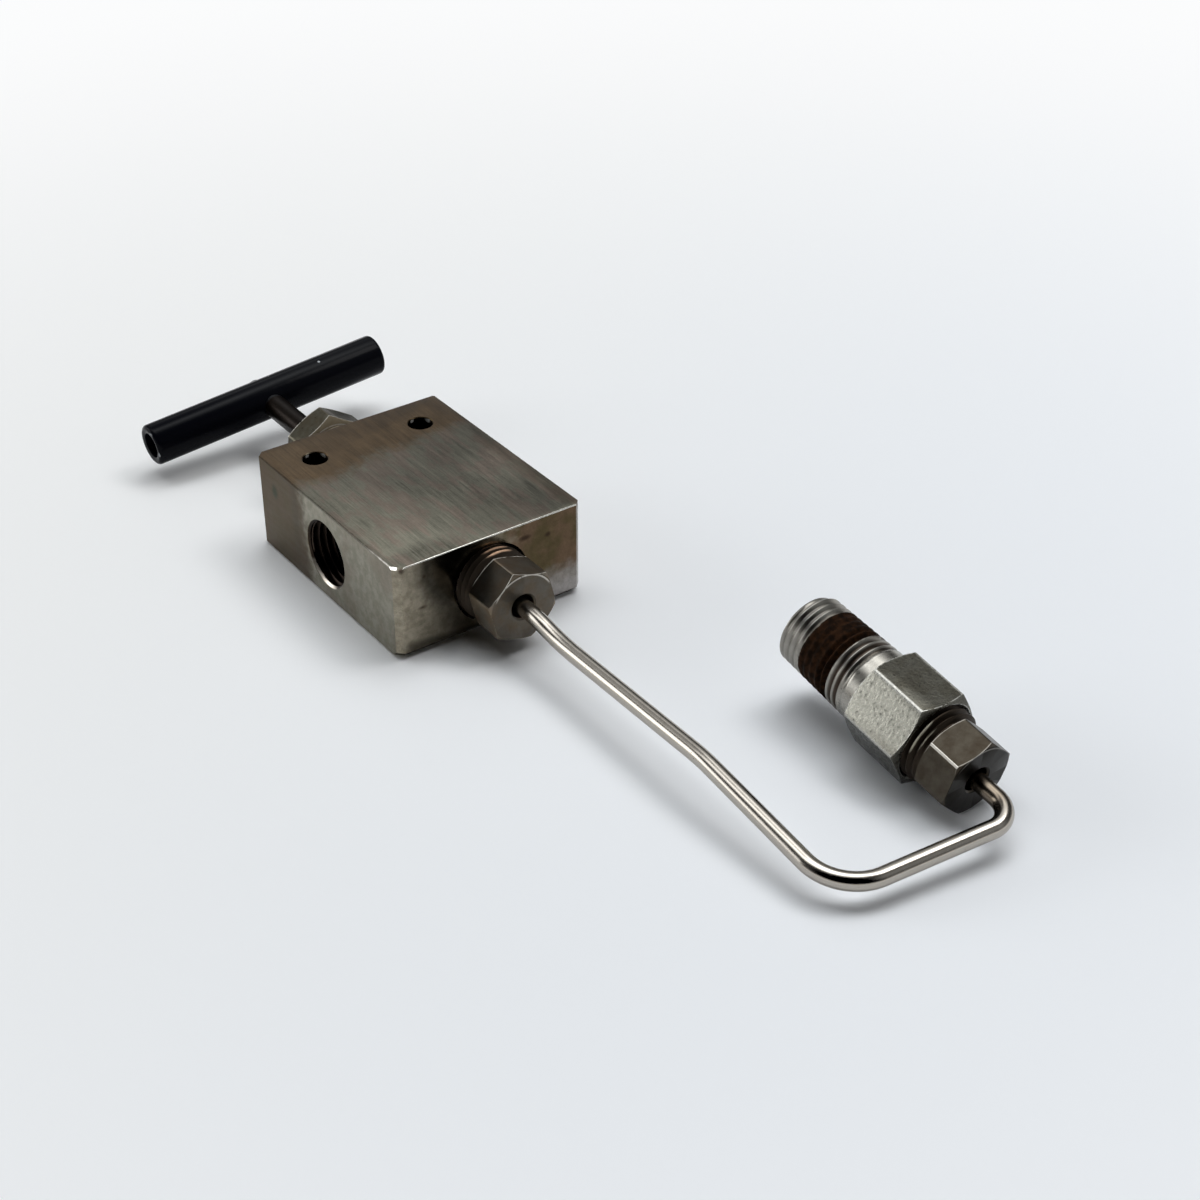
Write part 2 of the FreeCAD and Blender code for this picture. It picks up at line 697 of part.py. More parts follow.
def make_link_tube():
    """The tube: into the front port, out with a small dip, round two bends and into the adapter."""
    front = number("front_face")
    height = number("axis_height")
    seat = number("front_port_depth + tube_seat")
    tilt = adapter_tilt()
    along = tilt.multVec(Vector(0, 1, 0))
    nut_end = adapter_face() - along * number("adapter_nut_standoff + nut_hex_length")
    points = [
        Vector(0, front + seat, height),
        Vector(0, front - number("nut_standoff + nut_hex_length + dip_start"), height),
        *(Vector(across, front - back, up) for across, back, up in TUBE_CORNERS),
        nut_end - along * number("return_reach"),
        adapter_face() + along * number("adapter_port_depth + tube_seat"),
    ]
    radii = [number(name) for name in ("dip_bend_radius", "slow_bend_radius", "slow_bend_radius",
                                       "corner_bend_radius", "return_bend_radius")]
    path = bent_path(points, radii)
    wall = swept_rod(path, number("tube_diameter")).cut(swept_rod(path, number("tube_bore")))
    tube = document.addObject("Part::Feature", "link_tube")
    tube.Label = "link_tube"
    tube.Shape = wall
    section = math.pi / 4 * (number("tube_diameter") ** 2 - number("tube_bore") ** 2)
    print("tube volume over section times length:", round(wall.Volume / (section * path.Length), 5))


def sub_parts():
    """The objects that are pieces of the valve."""
    return [part for part in document.Objects
            if part.TypeId in ("PartDesign::Body", "Part::Feature")
            and part.getParentGeoFeatureGroup() is None]


def check_document():
    """Stop if any feature failed or any piece isn't one sound solid."""
    document.recompute()
    for thing in document.Objects:
        if "Invalid" in thing.State or "Error" in thing.State:
            raise RuntimeError(f"{thing.Name} failed: {thing.State}")
    for part in sub_parts():
        shape = part.Shape
        if shape.isNull() or not shape.isValid() or len(shape.Solids) != 1:
            raise RuntimeError(f"{part.Label} isn't one valid solid")


def write_parts():
    os.makedirs("parts", exist_ok=True)
    for part in sub_parts():
        part.Shape.exportStep(f"parts/{part.Label}.step")
        print(f"{part.Label}: {part.Shape.Volume:.1f} mm3")


make_valve_body()
make_packing()
make_packing_gland()
make_lower_stem()
make_upper_stem()
make_handle_bar()
make_adapter()
make_tube_ends()
make_link_tube()
check_document()
write_parts()
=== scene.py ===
import math

import bmesh
import bpy
from mathutils import Matrix, Vector


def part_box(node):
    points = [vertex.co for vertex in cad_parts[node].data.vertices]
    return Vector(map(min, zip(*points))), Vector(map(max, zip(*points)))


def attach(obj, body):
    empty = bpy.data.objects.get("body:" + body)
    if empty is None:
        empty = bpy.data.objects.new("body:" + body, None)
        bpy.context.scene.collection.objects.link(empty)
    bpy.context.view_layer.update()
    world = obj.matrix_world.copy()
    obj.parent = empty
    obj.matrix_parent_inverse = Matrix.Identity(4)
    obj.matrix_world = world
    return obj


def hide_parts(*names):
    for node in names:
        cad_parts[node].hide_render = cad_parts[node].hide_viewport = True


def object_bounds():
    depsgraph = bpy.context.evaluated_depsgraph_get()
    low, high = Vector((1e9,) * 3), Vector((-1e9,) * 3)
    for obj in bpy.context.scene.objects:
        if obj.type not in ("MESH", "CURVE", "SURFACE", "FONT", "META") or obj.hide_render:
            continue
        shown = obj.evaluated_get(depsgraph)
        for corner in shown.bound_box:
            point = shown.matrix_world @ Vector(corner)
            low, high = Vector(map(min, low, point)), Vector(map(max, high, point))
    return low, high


# High-pressure needle valve: ground steel block, gland nuts, bent link tube and pipe adapter.
# Shapes are drawn in millimetres, each round +Y from its own foot, and turned to metres when placed.
# Colours are linear red, green and blue. Marks on a finish are placed in millimetres on the part.

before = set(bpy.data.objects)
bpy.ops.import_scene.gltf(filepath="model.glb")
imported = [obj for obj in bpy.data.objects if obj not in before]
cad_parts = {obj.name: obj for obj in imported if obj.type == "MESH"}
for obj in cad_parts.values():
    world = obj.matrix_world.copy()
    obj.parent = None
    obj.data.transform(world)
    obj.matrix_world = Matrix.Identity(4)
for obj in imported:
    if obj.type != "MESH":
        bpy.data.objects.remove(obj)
cad_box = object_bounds()

MM = 0.001
WELD = 1e-4
SEGMENTS = 72
ROWS = 8
DEG = math.pi / 180
SLACK = WELD * 10
# How far a shank starts inside its hexagon, a cutter runs into the next, and one stands out of its face.
JOIN = 0.1
OVERLAP = 0.2
OUTSIDE = 1.0


def millimetres(node):
    """A node's lowest and highest corners."""
    low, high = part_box(node)
    return Vector(low) / MM, Vector(high) / MM


BLOCK_LOW, BLOCK_HIGH = millimetres("valve_body")
FRONT = BLOCK_LOW.y
BACK = BLOCK_HIGH.y
TOP = BLOCK_HIGH.z
AXIS = (BLOCK_LOW.z + BLOCK_HIGH.z) / 2
HALF_WIDTH = BLOCK_HIGH.x
SIDE_PORT_STATION = BACK - 25.0

CORNER_BREAK = 1.2
FOOT_BREAK = 1.3
LIGHT_BREAK = 0.4
TOP_BREAK = 0.2
NICK_DEPTH = 0.3
NICK_FACING = Vector((-0.325, -0.318, 0.89)).normalized()
MOUNT_SPACING = 23.0
MOUNT_RADIUS = 2.4
MOUNT_LIP = 0.15

PORT_RADIUS = 7.145
PORT_MOUTH = 7.7
SIDE_MOUTH = 6.75
SIDE_CREST = 6.3
PORT_CONE = 3.0
CONE_SLOPE = math.tan(math.radians(30))
SIDE_PORT_DEPTH = 11.6
SIDE_PASSAGE = 1.2
BORE_REACH = 31.0
SEAT_RADIUS = 0.8
SEAT_DEPTH = 29.1
TUBE_THREAD_PITCH = 25.4 / 18
GLAND_THREAD_PITCH = 25.4 / 20
STEM_THREAD_PITCH = 25.4 / 24
THREAD_DEPTH = 0.6
THREAD_RUN_OUT = 1.5
CREST_FLAT = 1 / 16
SLEEVE = 3.1

RIDGE_BREAK = 0.12
CORNER_WEAR = 0.06
CHAMFER_SLOPE = math.tan(28 * DEG)

NUT_FLATS = 12.7
NUT_HEX = 7.1
NUT_SHANK = 11.9
NUT_RADIUS = 7.105
NUT_FACE = 6.5
NUT_HEAD = (NUT_FLATS, NUT_HEX, NUT_FACE)
NUT_BORE = 2.35
NUT_BORE_LIP = 0.3
NUT_NECK_FOOT = 6.3
NUT_NECK_TOP = 6.4
NUT_NECK_LENGTH = 0.4
NUT_THREAD_START = 0.9
NUT_RUN_OUT = 1.6
NUT_TIP_BREAK = 0.8
NUT_STANDOFF = 3.0
NUT_TURN = -43.5

GLAND_FLATS = 14.29
GLAND_HEX = 5.9
GLAND_RADIUS = 6.31
GLAND_FACE = 6.5
GLAND_BORE = 2.44
GLAND_MOUTH = 6.8
GLAND_HOLE = 6.35
GLAND_DEPTH = 9.6
PACKING_RADIUS = 3.97
PACKING_DEPTH = 18.6
STEM_HOLE = 2.4
GLAND_TURN = 30.0

ADAPTER_FLATS = 15.875
ADAPTER_HEX = 13.0
ADAPTER_HEAD_FACE = 7.7
ADAPTER_PORT_LIP = 0.4
ADAPTER_NECK = 3.1
ADAPTER_NECK_LEAD = 1.0
ADAPTER_THREAD = 16.2
ADAPTER_NECK_RADIUS = 7.1
ADAPTER_END_RADIUS = 6.625
ADAPTER_TIP_BREAK = 0.5
ADAPTER_BREAK_RADIUS = 6.655
ADAPTER_BORE = 2.4
ADAPTER_BORE_DEPTH = 12.0
ADAPTER_TILT = 8.4
ADAPTER_TURN = 2.5
ADAPTER_NUT_STANDOFF = 2.9
ADAPTER_NUT_TURN = 44.0
ADAPTER_FACE = Vector((32.85, FRONT - 79.98, 8.51))
SEALANT_START = 5.4
SEALANT_EDGE = 0.8
SEALANT_FULL = 9.5
SEALANT_END = 11.0
CLEAN_GROOVE = 0.42
FILLED_GROOVE = 0.12
RUBBED_GROOVE = 0.32

TUBE_RADIUS = 3.175 / 2
TUBE_BORE = 0.75
TUBE_SIDES = 32
TUBE_SEAT = 2.4
TUBE_LEAD_OUT = 3.9
# Corners that the tube rounds: across, back from the front face, and up. The radii are all five bends'.
TUBE_PLACES = ((0.24, 21.35, 7.90), (-0.17, 61.30, 8.45), (-0.84, 95.60, 4.30))
TUBE_LEAD_IN = 9.6
TUBE_BENDS = (25.0, 35.0, 35.0, 8.9, 4.6)
BEND_STEP = 5 * DEG

STEM_RADIUS = 2.38
STEM_THREAD_RADIUS = 3.969
STEM_THREAD = 11.5
STEM_SHANK = 11.0
STEM_ROUNDING = 0.5
HANDLE_RADIUS = 4.2
HANDLE_BORE = 2.6
HANDLE_BORE_LIP = 0.2
HANDLE_ROUNDING = 0.8
HANDLE_LENGTH = 52.5
HANDLE_TILT = 5.2
HANDLE_STATION = BACK + 33.85


def spun(profile):
    """A closed turned shape round +Y, from the (radius, height) corners of its section."""
    shape = bmesh.new()
    corners = [shape.verts.new((radius, height, 0)) for radius, height in profile]
    walls = [shape.edges.new((first, second)) for first, second in zip(corners, corners[1:] + corners[:1])
             if first.co.x > 0 or second.co.x > 0]
    bmesh.ops.spin(shape, geom=corners + walls, cent=(0, 0, 0), axis=(0, 1, 0), angle=math.tau,
                   steps=SEGMENTS, use_merge=True)
    bmesh.ops.remove_doubles(shape, verts=shape.verts, dist=WELD)
    bmesh.ops.recalc_face_normals(shape, faces=shape.faces)
    return shape


def quarter_round(radius, steps):
    """Points of a quarter circle as (radius, height) corners, from its end to its side."""
    for step in range(steps + 1):
        angle = step * 90 / steps * DEG
        yield radius * math.sin(angle), radius * math.cos(angle)


def everything(shape):
    return shape.verts[:] + shape.edges[:] + shape.faces[:]


def edges_among(items):
    return [item for item in items if isinstance(item, bmesh.types.BMEdge)]


def bevel_edges(shape, edges, offset, segments):
    bmesh.ops.bevel(shape, geom=edges, offset=offset, offset_type="OFFSET", affect="EDGES",
                    segments=segments, profile=0.5, material=-1, clamp_overlap=True)


def cut_off(shape, place, outward):
    """Take off what lies beyond a plane and close the cut."""
    cut = bmesh.ops.bisect_plane(shape, geom=everything(shape), dist=WELD, plane_co=place,
                                 plane_no=outward, clear_outer=True)
    bmesh.ops.edgeloop_fill(shape, edges=edges_among(cut["geom_cut"]))


def mill_flats(shape, across_flats):
    """Cut six flats, with a corner of the hexagon on the X axis."""
    for side in range(6):
        angle = (side * 60 + 30) * DEG
        outward = Vector((math.cos(angle), 0, math.sin(angle)))
        cut_off(shape, outward * across_flats / 2, outward)
    bmesh.ops.recalc_face_normals(shape, faces=shape.faces)


def hexagon(across_flats, length, face_radius, bore, mouth=0.0, start=0.0):
    """A chamfered hexagon head with a clear bore; mouth widens the bore at the foot."""
    corner = across_flats / math.sqrt(3) - CORNER_WEAR
    run = (corner - face_radius) * CHAMFER_SLOPE
    end = start + length
    shape = spun((
        (bore + mouth, start),
        (face_radius, start),
        (corner, start + run),
        (corner, end - run),
        (face_radius, end),
        (bore, end),
        (bore, start + mouth + SLACK),
    ))
    mill_flats(shape, across_flats)
    ridges = [edge for edge in shape.edges if all(vert.co.xz.length > corner - WELD for vert in edge.verts)
              and abs(edge.verts[0].co.y - edge.verts[1].co.y) > run]
    bevel_edges(shape, ridges, RIDGE_BREAK, 2)
    return shape


def value_at(outline, height):
    """The value at a height, straight between an outline's (value, height) corners."""
    for (value, low), (next_value, high) in zip(outline, outline[1:]):
        if height <= high:
            return value + (next_value - value) * (height - low) / (high - low)
    return outline[-1][0]


def screw_rows(start, end, pitch):
    """A plain shell round +Y whose rows climb one pitch a turn, trimmed square at both ends."""
    shape = bmesh.new()
    rows = (math.ceil((end - start) / pitch) + 2) * ROWS
    line = [shape.verts.new((1, start + (row - ROWS) * pitch / ROWS, 0)) for row in range(rows + 1)]
    steps = [shape.edges.new(pair) for pair in zip(line, line[1:])]
    bmesh.ops.spin(shape, geom=line + steps, cent=(0, 0, 0), axis=(0, 1, 0),
                   dvec=(0, pitch / SEGMENTS, 0), angle=math.tau, steps=SEGMENTS)
    bmesh.ops.remove_doubles(shape, verts=shape.verts, dist=WELD)
    for place, outward in ((start, -1), (end, 1)):
        bmesh.ops.bisect_plane(shape, geom=everything(shape), dist=WELD, plane_co=(0, place, 0),
                               plane_no=(0, outward, 0), clear_outer=True)
    return shape


def groove_depth(turns):
    """How deep the thread is cut, from 0 on a crest to 1 in a root, with a flat on each."""
    from_crest = abs((turns - CREST_FLAT + 0.5) % 1 - 0.5)
    return min(1, max(0, (from_crest - CREST_FLAT) / (0.5 - 2 * CREST_FLAT)))


def rim_at(shape, height):
    """The open edges at one height."""
    return [edge for edge in shape.edges if edge.is_boundary
            and all(abs(vert.co.y - height) < SLACK for vert in edge.verts)]


def draw_in(shape, rim, radius, height):
    """Carry an open rim on to another radius and height."""
    grown = bmesh.ops.extrude_edge_only(shape, edges=rim)["geom"]
    for item in grown:
        if isinstance(item, bmesh.types.BMVert):
            across = Vector((item.co.x, 0, item.co.z)).normalized() * radius
            item.co = Vector((across.x, height, across.z))
    return [edge for edge in edges_among(grown) if edge.is_boundary]


def threaded(outline, pitch, bore, bore_depth=None, run_out=THREAD_RUN_OUT, depths=None):
    """A shank round +Y with a thread cut in its outline, bored through or to a depth from its tip."""
    start, end = outline[0][1], outline[-1][1]
    if depths is None:
        depths = ((0, start), (THREAD_DEPTH, start + run_out), (THREAD_DEPTH, end))
    shape = screw_rows(start, end, pitch)
    for vert in shape.verts:
        height = vert.co.y
        angle = math.atan2(-vert.co.z, vert.co.x)
        turns = (height - start) / pitch - angle / math.tau
        cut = value_at(depths, height) * pitch * groove_depth(turns)
        radius = max(bore, value_at(outline, height) - cut)
        vert.co.x, vert.co.z = radius * math.cos(angle), -radius * math.sin(angle)
    tip = draw_in(shape, rim_at(shape, end), bore, end)
    if bore_depth is None:
        foot = draw_in(shape, rim_at(shape, start), bore, start)
        bmesh.ops.bridge_loops(shape, edges=tip + foot)
    else:
        draw_in(shape, tip, bore, end - bore_depth)
        bmesh.ops.holes_fill(shape, edges=shape.edges)
    bmesh.ops.recalc_face_normals(shape, faces=shape.faces)
    return shape


def joined(*shapes):
    """Several shapes as one mesh."""
    whole = bmesh.new()
    for shape in shapes:
        mesh = bpy.data.meshes.new("part")
        shape.to_mesh(mesh)
        shape.free()
        whole.from_mesh(mesh)
        bpy.data.meshes.remove(mesh)
    return whole


def moved(shape, matrix):
    bmesh.ops.transform(shape, matrix=matrix, verts=shape.verts)
    return shape


def linked(name, data):
    """A new object in the scene that holds this data."""
    item = bpy.data.objects.new(name, data)
    bpy.context.scene.collection.objects.link(item)
    return item


def new_object(name, shape):
    """The shape as an object in the scene."""
    mesh = bpy.data.meshes.new(name)
    shape.to_mesh(mesh)
    shape.free()
    return linked(name, mesh)


def carved(shape, cutters):
    """The shape with each closed cutter taken out of it."""
    work = new_object("work", shape)
    tools = [new_object("cutter", cutter) for cutter in cutters]
    for tool in tools:
        cut = work.modifiers.new("carve", "BOOLEAN")
        cut.operation = "DIFFERENCE"
        cut.solver = "EXACT"
        cut.object = tool
    mesh = bpy.data.meshes.new_from_object(work.evaluated_get(bpy.context.evaluated_depsgraph_get()))
    result = bmesh.new()
    result.from_mesh(mesh)
    for item in [work, *tools]:
        spare = item.data
        bpy.data.objects.remove(item)
        bpy.data.meshes.remove(spare)
    bpy.data.meshes.remove(mesh)
    bmesh.ops.remove_doubles(result, verts=result.verts, dist=WELD)
    return result


def at(across, along, up, turn=0.0, tilt=0.0):
    """A place in millimetres, with a turn about the piece's own axis and a tilt of its tip upwards."""
    return (Matrix.Translation((across, along, up)) @ Matrix.Rotation(tilt * DEG, 4, "X")
            @ Matrix.Rotation(turn * DEG, 4, "Y"))


def piece(name, shape, place, body, node, finish, sharp=35.0):
    """Put a finished shape on its body in place of its CAD node."""
    item = new_object(name, moved(shape, Matrix.Scale(MM, 4) @ place))
    item.data.shade_smooth()
    item.data.set_sharp_from_angle(angle=sharp * DEG)
    item.data.materials.append(finish)
    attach(item, body)
    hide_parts(node)
    return item


class Socket:
    """A node's output that takes part in plain arithmetic."""

    def __init__(self, nodes, output):
        self.nodes = nodes
        self.output = output

    def __add__(self, other):
        return self.nodes.maths("ADD", self, other)

    def __sub__(self, other):
        return self.nodes.maths("SUBTRACT", self, other)

    def __rsub__(self, other):
        return self.nodes.maths("SUBTRACT", other, self)

    def __mul__(self, other):
        return self.nodes.maths("MULTIPLY", self, other)

    def __abs__(self):
        return self.nodes.maths("ABSOLUTE", self, 0)

    __radd__ = __add__
    __rmul__ = __mul__

    def rise(self, low, high, start=0.0, end=1.0):
        """A smooth rise from start, where this is low, to end, where it is high."""
        return self.nodes.node("ShaderNodeMapRange", {"interpolation_type": "SMOOTHSTEP"},
                               {"Value": self, "From Min": low, "From Max": high,
                                "To Min": start, "To Max": end})

    def fall(self, low, high):
        """A smooth fall from 1, where this is low, to 0, where it is high."""
        return self.rise(low, high, 1, 0)

    def times(self, factor):
        """This colour or place, with each part times a factor."""
        return self.nodes.node("ShaderNodeVectorMath", {"operation": "SCALE"}, {0: self, "Scale": factor})

    def under(self, factor, colour):
        """This colour with another over it, from 0 for none to 1 for that one alone."""
        return self.nodes.blend(factor, self, colour)


def spread(noise, width):
    """Noise centred on 0 and so wide from end to end."""
    return (noise - 0.5) * width


class Nodes:
    """A node tree and the few ways in which this file fills it."""

    def __init__(self, tree):
        self.tree = tree
        self.tree.nodes.clear()

    def node(self, kind, settings=None, inputs=None, output=0):
        node = self.tree.nodes.new(kind)
        for name, value in (settings or {}).items():
            setattr(node, name, value)
        for name, value in (inputs or {}).items():
            if isinstance(value, Socket):
                self.tree.links.new(value.output, node.inputs[name])
            else:
                node.inputs[name].default_value = value
        return None if output is None else Socket(self, node.outputs[output])

    def vector(self, operation, first, second, output="Vector"):
        return self.node("ShaderNodeVectorMath", {"operation": operation}, {0: first, 1: second}, output)

    def dot(self, first, second):
        return self.vector("DOT_PRODUCT", first, second, "Value")

    def maths(self, operation, first, second):
        return self.node("ShaderNodeMath", {"operation": operation}, {0: first, 1: second})

    def greater(self, first, second):
        return self.maths("MAXIMUM", first, second)

    def lesser(self, first, second):
        return self.maths("MINIMUM", first, second)

    def seen(self):
        """1 for what is seen directly, mirrored or through glass, and 0 for light on other things."""
        camera, glossy, passed = [self.node("ShaderNodeLightPath", output=kind)
                                  for kind in ("Is Camera Ray", "Is Glossy Ray", "Is Transmission Ray")]
        return self.greater(self.greater(camera, glossy), passed)

    def axes(self, vector):
        """A vector's three components."""
        return [self.node("ShaderNodeSeparateXYZ", None, {0: vector}, output) for output in range(3)]

    def near(self, place, centre, radius, soft):
        """1 within a radius of a centre and 0 outside it."""
        return self.vector("DISTANCE", place, centre, "Value").fall(radius - soft, radius + soft)

    def blend(self, factor, first, second):
        """A mix of two colours."""
        return self.node("ShaderNodeMix", {"data_type": "RGBA"},
                         {0: factor, 6: self.colour(first), 7: self.colour(second)}, output=2)

    @staticmethod
    def colour(value):
        return value if isinstance(value, Socket) else (*value, 1)


class Finish(Nodes):
    """A surface finish, worked out on object coordinates in millimetres."""

    def __init__(self, name):
        self.material = bpy.data.materials.new(name)
        self.material.use_nodes = True
        super().__init__(self.material.node_tree)
        self.here = self.node("ShaderNodeTexCoord", output="Object").times(1 / MM)

    def facing(self):
        """The surface's normal, in the object's own axes."""
        return self.node("ShaderNodeTexCoord", output="Normal")

    def on_flat(self, outward):
        """1 on a flat face that looks this way, and 0 on the others."""
        return self.dot(self.facing(), outward).rise(0.9, 0.97)

    def cloud(self, size, detail=3.0, stretch=(1, 1, 1), roughness=0.55):
        """Noise whose lumps are about so many millimetres across, drawn out along an axis."""
        grid = self.vector("MULTIPLY", self.here, [1 / (size * length) for length in stretch])
        return self.node("ShaderNodeTexNoise", None,
                         {"Vector": grid, "Scale": 1.0, "Detail": detail, "Roughness": roughness})

    def mark(self, centre, radius, soft, shape=(1, 1, 1)):
        """A mark round a place, 1 inside and 0 outside, longer along an axis by its shape."""
        away = self.vector("DIVIDE", self.vector("SUBTRACT", self.here, centre), shape)
        return self.near(away, (0, 0, 0), radius, soft)

    def from_axis(self, point, direction):
        """Distance along an axis from a point on it, and distance out from the axis."""
        away = self.vector("SUBTRACT", self.here, point)
        across = self.vector("CROSS_PRODUCT", away, direction)
        out = self.node("ShaderNodeVectorMath", {"operation": "LENGTH"}, {0: across}, "Value")
        return self.dot(away, direction), out

    def in_bore(self, mouth, inwards, radius, depth):
        """1 on what lies deeper than this in a bore, and 0 elsewhere."""
        along, out = self.from_axis(mouth, inwards)
        within = along.rise(depth, depth + 0.1) * along.fall(BORE_REACH, BORE_REACH + 0.1)
        return out.fall(radius + 0.05, radius + 0.1) * within

    def chamfer_arc(self, along, out, length, face_radius, width):
        """1 on the arcs, so wide, in which a hexagon's chamfers meet its flats, and 0 elsewhere."""
        from_end = self.lesser(along, length - along)
        gap = face_radius + from_end * (1 / CHAMFER_SLOPE) - out
        return gap.rise(0.015, 0.03) * gap.fall(0.2, width)

    def bump(self, height, distance, strength=1.0):
        return self.node("ShaderNodeBump", None,
                         {"Height": height, "Distance": distance * MM, "Strength": strength})

    def done(self, colour, roughness, metallic=1.0, normal=None, **constants):
        """Close the finish with its shader."""
        inputs = {"Base Color": self.colour(colour), "Roughness": roughness, "Metallic": metallic}
        inputs.update({name.replace("_", " "): value for name, value in constants.items()})
        if normal is not None:
            inputs["Normal"] = normal
        shader = self.node("ShaderNodeBsdfPrincipled", None, inputs)
        self.node("ShaderNodeOutputMaterial", None, {"Surface": shader}, output=None)
        return self.material


BORE_BROWN = (0.05, 0.036, 0.028)
STAIN_BROWN = (0.03, 0.018, 0.012)
WORN_STEEL = (0.80, 0.78, 0.72)
# Painted glints.
PAINTED_GLINT = (0.85, 0.84, 0.80)

# Painted reflection on the block's top, in patches: across, back from the front face, radius, and how much
# brighter or darker.
TOP_PAINTED_REFLECTIONS = ((14.5, 18.8, 7, 0.4), (11.0, 31.0, 6, -0.15), (4.7, 3.3, 7, -0.12), (19.0, 47.0, 6, 0.35))
# Stains on the block's front: across, up, radius, and how many times as wide as high.
FRONT_STAINS = ((-13.9, 15.8, 0.3, 1), (7.3, 16.0, 0.5, 2.2), (12.2, 15.0, 0.45, 1.2),
                (-14.5, 9.6, 0.25, 2.6), (-19.6, 15.9, 0.3, 1))


class BlockSteel(Finish):
    """Ground stainless: browned at the back, with stains in front, worn edges, bores darkened for oxide and
    painted shade, and painted light in places.
    """

    def __init__(self):
        super().__init__("block_steel")
        self.x, self.y, self.z = self.axes(self.here)
        facing_x, facing_y, facing_z = self.axes(self.facing())
        self.on_top = facing_z.rise(0.5, 0.9)
        self.on_left = facing_x.fall(-0.9, -0.5)
        self.on_front = facing_y.fall(-0.9, -0.5)
        self.lines = self.cloud(0.16, 2, (1, 45, 1))
        self.streaks = self.cloud(0.9, 3, (1, 14, 1))
        self.patches = self.cloud(7, 3)
        self.blotches = self.cloud(2.6, 4, (1, 2.2, 1))
        self.mottle = self.cloud(1.6, 4)
        self.grain = self.cloud(0.35, 3)
        warm_brown, olive_brown = (0.076, 0.051, 0.026), (0.070, 0.050, 0.022)
        self.browned = self.blend(self.patches.rise(0.4, 0.6), warm_brown, olive_brown)

    def top(self):
        """Olive to rose with patches of painted reflection, browned towards the back and a little along the
        right edge.
        """
        olive, rose, brown = (0.166, 0.158, 0.124), (0.15, 0.124, 0.10), (0.118, 0.08, 0.046)
        rosier = (self.blotches + spread(self.streaks, 0.4)).rise(0.42, 0.6)
        colour = self.blend(rosier, olive, rose)
        # Painted reflection: patches of the top made brighter or darker where its reflection changes.
        for across, back, size, change in TOP_PAINTED_REFLECTIONS:
            painted_reflection_patch = self.mark((across, FRONT + back, TOP), size, size * 0.8)
            colour = colour.times(1 + painted_reflection_patch * change)
        place = self.y + spread(self.patches, 9) + spread(self.mottle, 5) - (self.x + 20) * 0.07
        at_back = place.rise(BACK - 19, BACK - 12.5)
        at_right = (self.x + spread(self.patches, 7)).rise(15.5, 18.5)
        return colour.under(self.greater(at_back, at_right * 0.3), brown)

    def left(self):
        """Pale and mottled, browned behind the port, with an olive stain and a green spot."""
        pale, dull, rosy = (0.295, 0.275, 0.22), (0.22, 0.21, 0.16), (0.20, 0.165, 0.125)
        colour = self.blend(self.mottle.rise(0.35, 0.65), pale, dull)
        colour = colour.under(self.patches.rise(0.45, 0.65) * 0.6, rosy)
        place = self.y + spread(self.mottle, 4) - (self.z - AXIS) * 0.12
        colour = colour.under(place.rise(BACK - 20.6, BACK - 15.6), self.browned)
        olive = self.mark((-HALF_WIDTH, BACK - 14.2, AXIS + 2), 1, 0.8, (6, 1.2, 8))
        colour = colour.under(olive * 0.5, (0.045, 0.036, 0.018))
        green = self.mark((-HALF_WIDTH, 1.5, 13.9), 1.2, 0.8, (3, 0.8, 1.1))
        return colour.under(green, (0.028, 0.032, 0.012))

    def front(self):
        """Pale on the left, browned on the right and paler towards its foot there as a painted reflection
        of the floor, with painted shade at the foot and a painted reflection and shadow of the nut beside
        it.
        """
        pale, dull = (0.31, 0.275, 0.21), (0.22, 0.19, 0.14)
        brown, olive, bare_and_painted_sheen = (0.115, 0.075, 0.046), (0.08, 0.06, 0.03), (0.32, 0.30, 0.285)
        colour = self.blend(self.mottle.rise(0.35, 0.65), pale, dull)
        right = self.blend(self.patches.rise(0.42, 0.58), brown, olive)
        # Painted reflection of the floor: the right part turns pale towards the foot.
        right = right.under((self.z + spread(self.mottle, 4)).rise(9, 2), bare_and_painted_sheen)
        colour = colour.under((self.x + spread(self.mottle, 8)).rise(-3, 7), right)
        # Painted reflection and shadow of the nut beside it, and painted shade along the foot.
        painted_nut_reflection = self.mark((-8.0, FRONT, TOP - 1.5), 1, 0.25, (7.0, 1, 10))
        height = self.z + (self.x + HALF_WIDTH) * 0.12 + spread(self.mottle, 1.5)
        painted_foot_shade = height.rise(4.2, 2.6) * self.x.rise(-19, -17)
        colour = colour.times(1 - self.greater(painted_nut_reflection * 0.82, painted_foot_shade * 0.6))
        colour = colour.times(1 + spread(self.cloud(1.5, 4), 0.6))
        for across, up, size, width in FRONT_STAINS:
            stain = self.mark((across, FRONT, up), size, 0.3, (width, 1, 1))
            colour = colour.under(stain * 0.85, STAIN_BROWN)
        return colour

    def all_faces(self):
        """The colour of each face, with the ground lines and painted shade in the top's front corner."""
        front = self.front()
        others = self.blend(self.y.rise(-30, 0), front, self.browned)
        colour = self.blend(self.on_top, others, self.top())
        colour = colour.under(self.on_left, self.left())
        colour = colour.under(self.on_front, front)
        strength = self.on_top * 0.75 + 0.12
        # Painted shade in the top's front left corner.
        painted_corner_shade = self.mark((-12.5, FRONT + 1.2, TOP), 1, 0.5, (7.5, 4, 1)) * self.on_top
        ground = spread(self.lines, strength) + spread(self.streaks, strength)
        cloudy = spread(self.blotches, self.on_top) * 0.7
        return colour.times(ground + cloudy - painted_corner_shade * 0.38 + spread(self.grain, 0.4) + 1)

